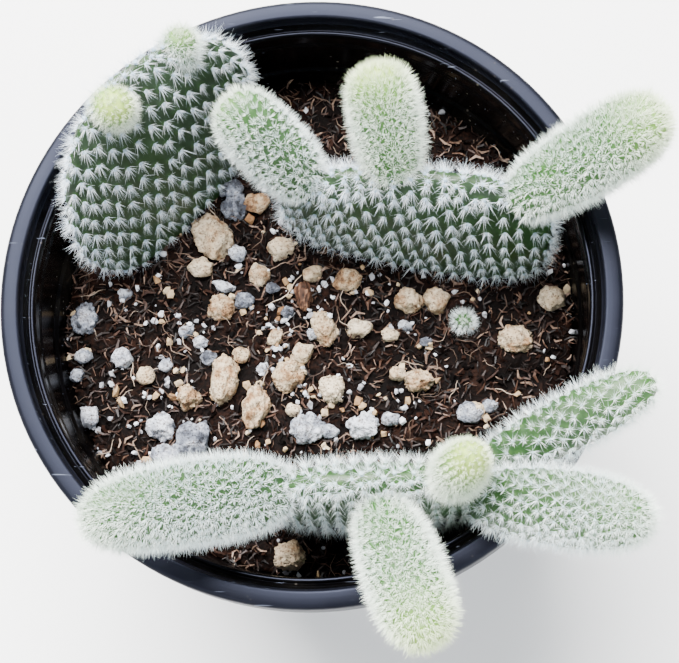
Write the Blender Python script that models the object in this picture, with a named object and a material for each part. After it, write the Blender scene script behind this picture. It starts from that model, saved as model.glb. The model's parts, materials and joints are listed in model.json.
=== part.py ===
"""Potted bunny ears cactus: three young plants in a black nursery pot.

The origin is at the centre of the pot's flat base, +Z is up and +Y points to the back of the pot.
Sizes are millimetres, turned into metres where they are used.
"""
import math
import random

import bmesh
import bpy
from mathutils import Vector, noise

MM = 0.001

# Pot
POT_HEIGHT = 120.0
RIM_RADIUS = 82.5
RIM_BAND = 5.0
SKIRT_DROP = 12.0
WALL = 1.5
LEDGE_HEIGHT = 115.5
COLLAR_RADIUS = 73.9
STEP_HEIGHT = 92.3
STEP_WIDTH = 1.0
BASE_RADIUS = 59.5
FLOOR = 2.0
FILLET = 1.6
POT_SEGMENTS = 44
DRAIN_SLOTS = 8

# Soil
SOIL_TOP = 86.8
SOIL_RINGS = 9
SOIL_SECTORS = 36
SOIL_RELIEF = 1.0
GRAINS = 64
GRAIN_CLEARANCE = 5.0
GAP = 0.3
SOIL_GAP = 0.6
BURIED_MARGIN = 2.0

# Areoles
TUFT_HEIGHT = 3.0
EAR_TUFT = 2.5
BUD_TUFT = 2.3
PAD_CELL = 4.6
EAR_CELL = 3.7
BUD_CELL = 3.0
EAR_FULLNESS = 2.5


def material(name, colour, roughness, metallic=0.0):
    """One Principled finish."""
    finish = bpy.data.materials.new(name)
    finish.use_nodes = True
    shader = finish.node_tree.nodes["Principled BSDF"]
    shader.inputs["Base Color"].default_value = (*colour, 1.0)
    shader.inputs["Roughness"].default_value = roughness
    shader.inputs["Metallic"].default_value = metallic
    return finish


def add_object(name, mesh_builder, finish, smooth=False):
    """Put a finished bmesh in the scene, scaled from millimetres to metres."""
    bmesh.ops.scale(mesh_builder, vec=(MM, MM, MM), verts=mesh_builder.verts)
    bmesh.ops.recalc_face_normals(mesh_builder, faces=mesh_builder.faces)
    mesh = bpy.data.meshes.new(name)
    mesh_builder.to_mesh(mesh)
    mesh_builder.free()
    mesh.materials.append(finish)
    if smooth:
        mesh.shade_smooth()
        mesh.set_sharp_from_angle(angle=math.radians(40.0))
    thing = bpy.data.objects.new(name, mesh)
    bpy.context.scene.collection.objects.link(thing)
    return thing


def hide_cutter(thing):
    """A cutter shapes its neighbours and is no part of the object."""
    thing.hide_render = True
    thing.display_type = "WIRE"


def cut(target, cutter):
    """Take the cutter's space out of the target."""
    modifier = target.modifiers.new("Cut " + cutter.name, "BOOLEAN")
    modifier.operation = "DIFFERENCE"
    modifier.object = cutter


def join(target, lumps, solver="EXACT"):
    """Fuse a list of small solids into the target and remove them from the scene."""
    group = bpy.data.collections.new(target.name + " lumps")
    bpy.context.scene.collection.children.link(group)
    for lump in lumps:
        bpy.context.scene.collection.objects.unlink(lump)
        group.objects.link(lump)
    modifier = target.modifiers.new("Join", "BOOLEAN")
    modifier.operation = "UNION"
    modifier.operand_type = "COLLECTION"
    modifier.collection = group
    modifier.solver = solver
    bpy.context.view_layer.update()
    with bpy.context.temp_override(object=target):
        bpy.ops.object.modifier_apply(modifier=modifier.name)
    for lump in lumps:
        bpy.data.objects.remove(lump)
    bpy.data.collections.remove(group)


def turned_body(profile, segments):
    """Turn a closed outline, which starts and ends on the axis, into a solid."""
    body = bmesh.new()
    rings = []
    for radius, height in profile:
        if radius == 0.0:
            rings.append([body.verts.new((0.0, 0.0, height))] * segments)
            continue
        ring = []
        for index in range(segments):
            angle = math.tau * index / segments
            ring.append(body.verts.new((radius * math.cos(angle), radius * math.sin(angle), height)))
        rings.append(ring)
    for lower, upper in zip(rings, rings[1:]):
        for index in range(segments):
            following = (index + 1) % segments
            corners = [lower[index], lower[following], upper[following], upper[index]]
            body.faces.new(list(dict.fromkeys(corners)))
    return body


def block(name, size, centre, angle, finish):
    """A box turned about the pot's axis, its first size lying along the radius."""
    body = bmesh.new()
    bmesh.ops.create_cube(body, size=1.0)
    for vert in body.verts:
        radial = centre[0] + vert.co.x * size[0]
        across = vert.co.y * size[1]
        height = centre[1] + vert.co.z * size[2]
        vert.co.x = radial * math.cos(angle) - across * math.sin(angle)
        vert.co.y = radial * math.sin(angle) + across * math.cos(angle)
        vert.co.z = height
    return add_object(name, body, finish)


def make_pot(finish):
    """Thin-walled moulded pot, turned in one piece, with slots in its base."""
    rim_inner = RIM_RADIUS - RIM_BAND
    skirt_bottom = POT_HEIGHT - SKIRT_DROP
    body_top = COLLAR_RADIUS - STEP_WIDTH
    profile = [
        (0.0, 0.0),
        (BASE_RADIUS - 2.0, 0.0),
        (BASE_RADIUS, 2.0),
        (body_top + WALL, STEP_HEIGHT - 2.2),
        (COLLAR_RADIUS + WALL, STEP_HEIGHT - 1.0),
        (COLLAR_RADIUS + WALL, LEDGE_HEIGHT - 1.7),
        (rim_inner + WALL, LEDGE_HEIGHT - 0.7),
        (rim_inner + WALL, POT_HEIGHT - WALL),
        (RIM_RADIUS - WALL, POT_HEIGHT - WALL),
        (RIM_RADIUS - WALL, skirt_bottom),
        (RIM_RADIUS, skirt_bottom),
        (RIM_RADIUS, POT_HEIGHT - 1.0),
        (RIM_RADIUS - 1.0, POT_HEIGHT),
        (rim_inner, POT_HEIGHT),
        (rim_inner, LEDGE_HEIGHT + 0.7),
        (COLLAR_RADIUS, LEDGE_HEIGHT),
        (COLLAR_RADIUS, STEP_HEIGHT),
        (body_top, STEP_HEIGHT - 1.0),
        (BASE_RADIUS - WALL, FLOOR + FILLET),
        (BASE_RADIUS - WALL - FILLET, FLOOR),
        (0.0, FLOOR),
    ]
    pot = add_object("pot", turned_body(profile, POT_SEGMENTS), finish, smooth=True)
    for index in range(DRAIN_SLOTS):
        angle = math.tau * (index + 0.5) / DRAIN_SLOTS
        slot = block("drain_slot_%d" % index, (9.0, 12.0, 9.0), (BASE_RADIUS, 2.0), angle, finish)
        hide_cutter(slot)
        cut(pot, slot)
    return pot


def inner_wall(height):
    """Radius of the pot's inside at a height below the step."""
    if height < FLOOR + FILLET:
        return BASE_RADIUS - WALL - FLOOR - FILLET + height
    share = (height - FLOOR - FILLET) / (STEP_HEIGHT - 1.0 - FLOOR - FILLET)
    return BASE_RADIUS - WALL + share * (COLLAR_RADIUS - STEP_WIDTH - BASE_RADIUS + WALL)


def even_steps(curve, count, closed=False):
    """Parameters from 0 to 1 that split a curve into lengths that are alike."""
    samples = 360
    places = [curve(index / samples) for index in range(samples + 1)]
    reached = [0.0]
    for before, after in zip(places, places[1:]):
        reached.append(reached[-1] + (after - before).length)
    wanted = count if closed else count + 1
    steps = []
    index = 0
    for number in range(wanted):
        target = reached[-1] * number / count
        while index < samples - 1 and reached[index + 1] < target:
            index += 1
        span = reached[index + 1] - reached[index]
        steps.append((index + (target - reached[index]) / max(span, 1e-9)) / samples)
    return steps


class Pad:
    """A pad, ear or bud: a flattened egg round a bowed axis, with areoles in staggered rows."""

    def __init__(self, name, start, end, across, width, thickness, cell,
                 bow=(0.0, 0.0, 0.0), across_end=None, fullness=2.2, widest=0.5,
                 tuft=TUFT_HEIGHT, bare_until=0.0, joints=()):
        self.name = name
        self.start = Vector(start)
        self.end = Vector(end)
        self.bow = Vector(bow)
        self.across = Vector(across).normalized()
        self.across_end = Vector(across_end or across).normalized()
        self.width = width
        self.thickness = thickness
        self.cell = cell
        self.fullness = fullness
        self.widest = widest
        self.tuft = tuft
        self.bare_until = bare_until
        self.joints = [(Vector(place), radius) for place, radius in joints]

    def axis(self, t):
        """A point of the axis, which bows to one side between its ends."""
        return self.start.lerp(self.end, t) + self.bow * 4.0 * t * (1.0 - t)

    def swell(self, t):
        """How far the outline has opened: 0 at both ends, 1 at the widest place."""
        if t < self.widest:
            off = (self.widest - t) / self.widest
        else:
            off = (t - self.widest) / (1.0 - self.widest)
        return max(0.0, 1.0 - min(off, 1.0) ** self.fullness) ** (1.0 / self.fullness)

    def skin(self, t, turn):
        """A point of the smooth skin, at t along the axis and a share of a turn round it."""
        step = 0.01
        along = (self.axis(min(t + step, 1.0)) - self.axis(max(t - step, 0.0))).normalized()
        side = self.across.lerp(self.across_end, t)
        side = (side - along * side.dot(along)).normalized()
        face = along.cross(side)
        angle = math.tau * turn
        reach = side * (math.cos(angle) * self.width / 2.0)
        reach += face * (math.sin(angle) * self.thickness / 2.0)
        return self.axis(t) + reach * self.swell(t)

    def outward(self, t, turn):
        """Unit normal of the smooth skin."""
        step = 0.004
        low = max(t - step, 0.0005)
        high = min(t + step, 0.9995)
        along = self.skin(high, turn) - self.skin(low, turn)
        round_it = self.skin(t, turn + step) - self.skin(t, turn - step)
        return round_it.cross(along).normalized()

    def lattice(self):
        """Row and column parameters of the areole lattice, even along the skin."""
        half_turn = [self.skin(index / 40.0, 0.0) for index in range(41)]
        other = [self.skin(index / 40.0, 0.25) for index in range(41)]
        length = sum((b - a).length for a, b in zip(half_turn, half_turn[1:]))
        length += sum((b - a).length for a, b in zip(other, other[1:]))
        girth = [self.skin(self.widest, index / 60.0) for index in range(61)]
        around = sum((b - a).length for a, b in zip(girth, girth[1:]))
        rows = max(4, round(length / 2.0 / self.cell))
        columns = max(6, 2 * round(around / self.cell / 2.0))
        row_steps = even_steps(lambda t: self.skin(t, 0.125), rows)
        column_steps = even_steps(lambda turn: self.skin(self.widest, turn), columns, closed=True)
        return row_steps, column_steps

    def has_tuft(self, t, middle):
        """Areoles show above the soil, clear of the neck and of the joints of other pads."""
        if t < self.bare_until or middle.z < SOIL_TOP + 2.6:
            return False
        return all((middle - place).length > radius for place, radius in self.joints)

    def build(self, finish, lift=0.0):
        """The closed mesh; a lift makes the envelope of skin and tufts, used as a cutter."""
        row_steps, column_steps = self.lattice()
        rows = len(row_steps) - 1
        columns = len(column_steps)
        body = bmesh.new()

        def raised(t, place):
            """An envelope is wider where the skin has tufts, and close where it is buried."""
            tufted = t > self.bare_until and place.z > SOIL_TOP - BURIED_MARGIN
            return lift + self.tuft if lift and tufted else lift

        grid = []
        for t in row_steps[1:-1]:
            ring = []
            for turn in column_steps:
                place = self.skin(t, turn)
                ring.append(body.verts.new(place + self.outward(t, turn) * raised(t, place)))
            grid.append(ring)
        heading = (self.end - self.start).normalized()
        tip_height = raised(1.0, self.end) if lift else 0.5 * self.tuft
        root_height = raised(0.0, self.start)
        root = body.verts.new(self.start - heading * root_height)
        tip = body.verts.new(self.end + heading * tip_height)
        for column in range(columns):
            following = (column + 1) % columns
            body.faces.new((root, grid[0][following], grid[0][column]))
            body.faces.new((tip, grid[-1][column], grid[-1][following]))
        for row in range(rows - 2):
            for column in range(columns):
                following = (column + 1) % columns
                corners = (grid[row][column], grid[row][following],
                           grid[row + 1][following], grid[row + 1][column])
                t = (row_steps[row + 1] + row_steps[row + 2]) / 2.0
                middle = sum((corner.co for corner in corners), Vector()) / 4.0
                if lift or (row + column) % 2 or not self.has_tuft(t, middle):
                    body.faces.new(corners[:3])
                    body.faces.new((corners[0], corners[2], corners[3]))
                    continue
                edge = corners[1].co - corners[0].co
                outward = edge.cross(corners[3].co - corners[0].co).normalized()
                peak = body.verts.new(middle + outward * self.tuft)
                for number in range(4):
                    body.faces.new((corners[number], corners[(number + 1) % 4], peak))
        name = self.name + "_room" if lift else self.name
        thing = add_object(name, body, finish)
        if lift:
            hide_cutter(thing)
        return thing


def left_plant():
    """The wide pad that leans out at the back left, with two young round pads on top."""
    pad = Pad("left_pad", (-64.0, 23.0, 123.0), (-18.5, 59.5, 98.0), (0.127, 0.53, 0.84),
              74.0, 12.0, PAD_CELL, fullness=2.3,
              joints=[((-50.5, 45.5, 138.5), 6.0), ((-33.0, 61.0, 134.5), 6.0)])
    tip = Pad("left_bud_tip", (-50.5, 45.0, 133.5), (-47.5, 43.5, 150.0), (1.0, 0.0, 0.0),
              11.0, 10.0, BUD_CELL, tuft=BUD_TUFT, bare_until=0.4, fullness=2.4)
    back = Pad("left_bud_back", (-33.5, 60.0, 131.0), (-32.0, 64.5, 142.5), (1.0, 0.3, 0.0),
               9.5, 8.5, BUD_CELL, tuft=BUD_TUFT, bare_until=0.45, fullness=2.4)
    return pad, [tip, back]


def middle_plant():
    """The wide pad behind the pot's middle, with three ears on its upper edge."""
    pad = Pad("middle_pad", (-8.5, 29.5, 103.0), (65.0, 18.0, 103.0), (0.0, 0.08, 1.0),
              54.0, 14.0, PAD_CELL, across_end=(0.0, 0.32, 0.95), fullness=2.6,
              joints=[((0.0, 30.0, 123.0), 6.5), ((23.0, 30.0, 130.0), 6.5),
                      ((55.0, 26.0, 126.0), 7.0)])
    left = Pad("middle_ear_left", (1.0, 28.0, 118.0), (-20.5, 48.0, 136.0), (0.5, 0.4, 0.5),
               18.0, 13.0, EAR_CELL, bow=(0.0, 0.0, 2.5), fullness=EAR_FULLNESS, widest=0.55,
               tuft=EAR_TUFT, bare_until=0.22)
    centre = Pad("middle_ear_centre", (23.5, 27.0, 124.5), (18.5, 53.5, 144.0), (1.0, 0.15, 0.0),
                 16.5, 12.5, EAR_CELL, bow=(0.0, 2.0, 2.0), fullness=EAR_FULLNESS, widest=0.55,
                 tuft=EAR_TUFT, bare_until=0.2)
    right = Pad("middle_ear_right", (53.0, 23.0, 120.0), (90.0, 37.5, 151.0), (-0.3, 0.9, 0.0),
                18.5, 14.5, EAR_CELL, bow=(1.0, 0.0, 1.5), fullness=EAR_FULLNESS, widest=0.6,
                tuft=EAR_TUFT, bare_until=0.17)
    return pad, [left, centre, right]


def front_plant():
    """The wide pad seen edge-on at the front, with four ears and one young round pad."""
    pad = Pad("front_pad", (-13.0, -52.5, 106.0), (45.5, -51.5, 106.0), (0.0, 0.03, 1.0),
              58.0, 15.0, PAD_CELL, fullness=2.6,
              joints=[((-6.0, -53.0, 126.0), 7.0), ((18.0, -58.0, 130.0), 6.5),
                      ((37.0, -51.5, 134.0), 6.0), ((44.0, -55.0, 126.0), 7.0),
                      ((43.5, -49.0, 118.5), 5.5)])
    left = Pad("front_ear_left", (-3.5, -52.5, 122.5), (-51.0, -63.0, 152.0), (0.1, 0.9, 0.2),
               19.5, 14.0, EAR_CELL, bow=(0.0, 0.5, 1.5), fullness=EAR_FULLNESS, widest=0.45,
               tuft=EAR_TUFT, bare_until=0.14)
    down = Pad("front_ear_down", (18.0, -55.0, 127.0), (31.5, -91.5, 148.0), (1.0, 0.35, 0.0),
               17.5, 13.5, EAR_CELL, bow=(0.0, -1.0, 2.0), fullness=EAR_FULLNESS, widest=0.58,
               tuft=EAR_TUFT, bare_until=0.18)
    bud = Pad("front_bud", (36.0, -52.0, 130.0), (42.0, -48.0, 157.0), (1.0, 0.0, 0.0),
              13.5, 12.5, BUD_CELL, fullness=2.4, widest=0.58, tuft=BUD_TUFT, bare_until=0.25)
    near = Pad("front_ear_right_front", (41.0, -54.5, 123.5), (83.0, -63.5, 151.0), (0.1, 0.9, 0.3),
              18.0, 13.0, EAR_CELL, bow=(1.0, 0.0, 1.0), fullness=EAR_FULLNESS, widest=0.5,
              tuft=EAR_TUFT, bare_until=0.18)
    far = Pad("front_ear_right_back", (41.0, -49.5, 117.5), (86.5, -28.5, 142.0), (-0.4, 0.8, 0.3),
               13.5, 11.0, EAR_CELL, bow=(1.0, 1.0, 1.0), fullness=EAR_FULLNESS, widest=0.5,
               tuft=EAR_TUFT, bare_until=0.2)
    return pad, [left, down, bud, near, far]


def make_plant(plant, finish, young_finish):
    """Build a wide pad and what grows on it, each young pad seated in a socket of its own."""
    pad, growth = plant
    thing = pad.build(finish)
    for young in growth:
        young.build(young_finish)
        cut(thing, young.build(young_finish, lift=GAP))
    return pad.build(finish, lift=GAP)


def stone_body(place, size, turn, roughness, seed, faces=2):
    """One irregular pebble or grain."""
    draw = random.Random(seed)
    body = bmesh.new()
    bmesh.ops.create_icosphere(body, subdivisions=faces, radius=0.5)
    cosine = math.cos(turn)
    sine = math.sin(turn)
    shift = Vector((draw.uniform(0, 50), draw.uniform(0, 50), draw.uniform(0, 50)))
    for vert in body.verts:
        lump = 1.0 + roughness * noise.noise(vert.co * 3.2 + shift)
        x, y, z = (vert.co[axis] * size[axis] * lump for axis in range(3))
        vert.co = Vector(place) + Vector((x * cosine - y * sine, x * sine + y * cosine, z))
    return body


def clearance(place, start, end, half_breadth):
    """How far a place lies from a straight strip on the soil, seen from above."""
    along = Vector((end[0] - start[0], end[1] - start[1]))
    offset = Vector((place[0] - start[0], place[1] - start[1]))
    share = offset.dot(along) / max(along.length_squared, 1e-9)
    return (offset - along * min(max(share, 0.0), 1.0)).length - half_breadth


def make_soil(finish, taken):
    """The filling: a turned plug with a lumpy top, and small grains fused to it where it is bare."""
    body = bmesh.new()
    wall = inner_wall(SOIL_TOP - 1.0) - SOIL_GAP
    rings = []
    for ring_number in range(SOIL_RINGS):
        radius = wall * (ring_number + 1) / SOIL_RINGS
        ring = []
        for sector in range(SOIL_SECTORS):
            angle = math.tau * (sector + 0.5 * (ring_number % 2)) / SOIL_SECTORS
            x = radius * math.cos(angle)
            y = radius * math.sin(angle)
            height = SOIL_TOP + SOIL_RELIEF * noise.noise(Vector((x, y, 0.0)) * 0.11)
            ring.append(body.verts.new((x, y, height + 0.4 * noise.noise(Vector((x, y, 9.0)) * 0.4))))
        rings.append(ring)
    for height in (SOIL_TOP * 0.5, FLOOR + FILLET + GAP, FLOOR + GAP):
        radius = inner_wall(height) - SOIL_GAP
        ring = []
        for sector in range(SOIL_SECTORS):
            angle = math.tau * (sector + 0.5 * (len(rings) % 2)) / SOIL_SECTORS
            ring.append(body.verts.new((radius * math.cos(angle), radius * math.sin(angle), height)))
        rings.append(ring)
    crown = body.verts.new((0.0, 0.0, SOIL_TOP))
    floor = body.verts.new((0.0, 0.0, FLOOR + GAP))
    for sector in range(SOIL_SECTORS):
        following = (sector + 1) % SOIL_SECTORS
        body.faces.new((crown, rings[0][sector], rings[0][following]))
        body.faces.new((floor, rings[-1][following], rings[-1][sector]))
    for number, (inner, outer) in enumerate(zip(rings, rings[1:])):
        ahead = number % 2
        for sector in range(SOIL_SECTORS):
            following = (sector + 1) % SOIL_SECTORS
            if ahead:
                body.faces.new((inner[sector], outer[sector], outer[following]))
                body.faces.new((inner[sector], outer[following], inner[following]))
            else:
                body.faces.new((inner[sector], outer[sector], inner[following]))
                body.faces.new((inner[following], outer[sector], outer[following]))
    soil = add_object("soil", body, finish)
    draw = random.Random(11)
    grains = []
    for number in range(GRAINS):
        radius = (wall - 3.5) * math.sqrt((number + 0.5) / GRAINS)
        angle = number * math.pi * (3.0 - math.sqrt(5.0))
        place = Vector((radius * math.cos(angle), radius * math.sin(angle), SOIL_TOP + 0.3))
        size = (draw.uniform(3.0, 5.5), draw.uniform(2.4, 3.4), draw.uniform(2.4, 3.6))
        if any(clearance(place, *strip) < GRAIN_CLEARANCE for strip in taken):
            continue
        grain = stone_body(place, size, draw.uniform(0.0, math.pi), 0.35, number, faces=1)
        grains.append(add_object("grain", grain, finish))
    join(soil, grains)
    return soil


# Name, place across the pot, length, breadth, height, turn in degrees.
STONES = [
    ("pumice_long", (-26.1, -17.0), (16.5, 7.0, 6.5), 86.0),
    ("pumice_tall", (-30.0, 24.6), (15.0, 9.5, 8.0), 118.0),
    ("pumice_cluster", (-17.0, -24.4), (13.4, 6.2, 6.0), 82.0),
    ("pumice_round", (-8.4, -15.8), (8.6, 8.2, 6.5), 20.0),
    ("pumice_corner", (55.5, -6.0), (9.5, 7.0, 6.0), -12.0),
    ("pumice_step", (26.0, 5.2), (8.4, 6.0, 5.5), -25.0),
    ("pumice_front", (-7.5, -66.0), (8.4, 8.0, 7.0), 0.0),
    ("pumice_small", (-27.2, 4.0), (7.6, 7.0, 5.5), 30.0),
    ("pumice_middle", (2.2, -2.5), (9.4, 6.6, 5.5), 100.0),
    ("pumice_west", (-36.2, -21.7), (6.8, 6.2, 5.5), 45.0),
    ("pumice_south", (4.5, -19.6), (8.2, 6.6, 5.5), 95.0),
    ("pumice_bark_side", (28.5, -17.6), (9.0, 5.8, 5.0), 0.0),
    ("perlite_edge", (-66.2, 1.6), (8.6, 7.4, 6.5), 100.0),
    ("perlite_grey", (-34.0, -33.3), (10.2, 9.4, 7.0), 60.0),
    ("perlite_stone", (-3.0, -30.8), (10.0, 8.2, 7.0), 10.0),
    ("perlite_cluster", (13.7, -30.1), (9.6, 7.6, 6.0), 15.0),
    ("perlite_west", (-43.8, -30.0), (7.8, 7.4, 6.0), 30.0),
    ("perlite_back", (-23.8, 33.6), (6.4, 8.2, 6.0), 0.0),
]


def make_stones(tan, white, soil):
    """The loose stones, each bedded in a hollow of its own in the soil."""
    for number, (name, spot, size, turn) in enumerate(STONES):
        finish = white if name.startswith("perlite") else tan
        place = (spot[0], spot[1], SOIL_TOP + 0.9)
        seed = 100 + number
        add_object(name, stone_body(place, size, math.radians(turn), 0.4, seed), finish)
        room = tuple(length + 2.6 * GAP for length in size)
        hollow = add_object(name + "_room", stone_body(place, room, math.radians(turn), 0.4, seed), finish)
        hide_cutter(hollow)
        cut(soil, hollow)


def main():
    for thing in list(bpy.data.objects):
        bpy.data.objects.remove(thing)
    plastic = material("pot plastic", (0.018, 0.019, 0.024), 0.42)
    peat = material("soil", (0.055, 0.028, 0.016), 0.95)
    skin = material("cactus skin", (0.10, 0.24, 0.07), 0.6)
    young = material("young growth", (0.42, 0.58, 0.28), 0.7)
    tan = material("pumice", (0.62, 0.45, 0.27), 0.9)
    white = material("perlite", (0.82, 0.81, 0.78), 0.9)
    make_pot(plastic)
    plants = [left_plant(), middle_plant(), front_plant()]
    seedling = Pad("seedling", (41.0, -0.8, SOIL_TOP - 2.5), (41.2, -1.0, SOIL_TOP + 4.2),
                   (1.0, 0.0, 0.0), 5.4, 5.0, 1.7, tuft=1.1)
    taken = [(pad.start, pad.end, pad.thickness / 2.0) for pad, growth in plants]
    taken.append((seedling.start, seedling.end, seedling.width / 2.0))
    taken += [(spot, spot, size[1] / 2.0) for name, spot, size, turn in STONES]
    soil = make_soil(peat, taken)
    make_stones(tan, white, soil)
    for plant in plants:
        cut(soil, make_plant(plant, skin, young))
    seedling.build(young)
    cut(soil, seedling.build(young, lift=GAP))


main()
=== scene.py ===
import json
import math
import random

import bmesh
import bpy
from mathutils import Matrix, Vector, kdtree, noise

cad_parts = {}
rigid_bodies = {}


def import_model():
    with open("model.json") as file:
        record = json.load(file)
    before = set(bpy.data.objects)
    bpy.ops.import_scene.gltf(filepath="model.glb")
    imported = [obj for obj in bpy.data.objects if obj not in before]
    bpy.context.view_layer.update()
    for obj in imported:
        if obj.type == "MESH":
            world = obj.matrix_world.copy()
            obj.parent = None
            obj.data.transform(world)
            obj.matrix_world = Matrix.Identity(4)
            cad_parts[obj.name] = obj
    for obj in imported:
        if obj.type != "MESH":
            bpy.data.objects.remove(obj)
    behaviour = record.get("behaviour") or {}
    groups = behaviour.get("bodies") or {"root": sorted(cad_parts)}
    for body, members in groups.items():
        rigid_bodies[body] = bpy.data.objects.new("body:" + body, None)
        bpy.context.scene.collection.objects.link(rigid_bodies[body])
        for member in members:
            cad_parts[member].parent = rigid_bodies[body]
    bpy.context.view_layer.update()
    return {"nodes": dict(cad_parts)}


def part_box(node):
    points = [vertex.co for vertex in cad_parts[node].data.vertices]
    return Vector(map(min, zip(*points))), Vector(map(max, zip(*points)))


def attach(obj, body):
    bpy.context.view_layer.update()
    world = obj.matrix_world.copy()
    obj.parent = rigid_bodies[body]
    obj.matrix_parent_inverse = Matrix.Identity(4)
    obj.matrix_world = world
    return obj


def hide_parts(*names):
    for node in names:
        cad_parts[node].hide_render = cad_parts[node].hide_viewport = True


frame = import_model()

# The nursery pot is one thin moulded shell of black polypropylene. It is turned here from its outline with
# soft moulded corners, given its drain slots, and finished with scuffs and dust.

MM = 0.001
pot_low, pot_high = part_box("pot")
RIM_RADIUS = pot_high.x / MM
POT_HEIGHT = pot_high.z / MM
RIM_BAND = 5.0
SKIRT_DROP = 12.0
WALL = 1.5
LEDGE_HEIGHT = 115.5
COLLAR_RADIUS = 73.9
STEP_HEIGHT = 92.3
STEP_WIDTH = 1.0
BASE_RADIUS = 59.5
FLOOR = 2.0
FILLET = 1.6
POT_SEGMENTS = 132
DRAIN_SLOTS = 8


def node(tree, kind, **values):
    """A node with its properties set by name and its inputs by socket name or number."""
    made = tree.nodes.new(kind)
    for name, value in values.items():
        if name == "inputs":
            for key, entry in value.items():
                if isinstance(entry, bpy.types.NodeSocket):
                    tree.links.new(entry, made.inputs[key])
                else:
                    made.inputs[key].default_value = entry
        else:
            setattr(made, name, value)
    return made


def new_material(name):
    """An empty material with its shader and its output."""
    made = bpy.data.materials.new(name)
    made.use_nodes = True
    tree = made.node_tree
    tree.nodes.clear()
    shader = tree.nodes.new("ShaderNodeBsdfPrincipled")
    output = tree.nodes.new("ShaderNodeOutputMaterial")
    tree.links.new(shader.outputs[0], output.inputs[0])
    return made, tree, shader


def object_point(tree):
    """Where a point of the piece lies, in metres."""
    return node(tree, "ShaderNodeTexCoord").outputs["Object"]


def ramp(tree, fac, stops):
    """A colour ramp over the given stops."""
    made = node(tree, "ShaderNodeValToRGB", inputs={"Fac": fac})
    band = made.color_ramp
    while len(band.elements) < len(stops):
        band.elements.new(0.5)
    for element, (place, colour) in zip(band.elements, stops):
        element.position = place
        element.color = (*colour, 1.0) if len(colour) == 3 else colour
    return made.outputs["Color"]


def grey(value):
    """A grey, for masks."""
    return (value, value, value)


def add_piece(name, mesh, finish):
    """A finished piece of the object, whose place is in its mesh."""
    mesh.name = name
    mesh.materials.clear()
    mesh.materials.append(finish)
    piece = bpy.data.objects.new(name, mesh)
    bpy.context.scene.collection.objects.link(piece)
    return piece


def dust_group():
    """Fine specks and faint broad marks: a mask of settled dust over any surface."""
    group = bpy.data.node_groups.new("settled dust", "ShaderNodeTree")
    face = group.interface
    face.new_socket("Point", in_out="INPUT", socket_type="NodeSocketVector")
    face.new_socket("Speck scale", in_out="INPUT", socket_type="NodeSocketFloat")
    face.new_socket("Amount", in_out="INPUT", socket_type="NodeSocketFloat")
    face.new_socket("Dust", in_out="OUTPUT", socket_type="NodeSocketFloat")
    inlet = node(group, "NodeGroupInput")
    outlet = node(group, "NodeGroupOutput")
    specks = node(group, "ShaderNodeTexVoronoi", inputs={
        "Vector": inlet.outputs["Point"], "Scale": inlet.outputs["Speck scale"]})
    broad = node(group, "ShaderNodeTexNoise", inputs={
        "Vector": inlet.outputs["Point"], "Scale": 42.0, "Detail": 4.0, "Roughness": 0.65})
    dots = node(group, "ShaderNodeMapRange", inputs={
        "Value": specks.outputs["Distance"], "From Min": 0.16, "From Max": 0.05})
    patches = node(group, "ShaderNodeMapRange", inputs={
        "Value": broad.outputs["Fac"], "From Min": 0.5, "From Max": 0.72})
    both = node(group, "ShaderNodeMath", operation="MULTIPLY", inputs={
        0: dots.outputs[0], 1: patches.outputs[0]})
    haze = node(group, "ShaderNodeMath", operation="MULTIPLY_ADD", inputs={
        0: patches.outputs[0], 1: 0.045, 2: both.outputs[0]})
    total = node(group, "ShaderNodeMath", operation="MULTIPLY", inputs={
        0: haze.outputs[0], 1: inlet.outputs["Amount"]})
    group.links.new(total.outputs[0], outlet.inputs["Dust"])
    return group


settled_dust = dust_group()


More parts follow.
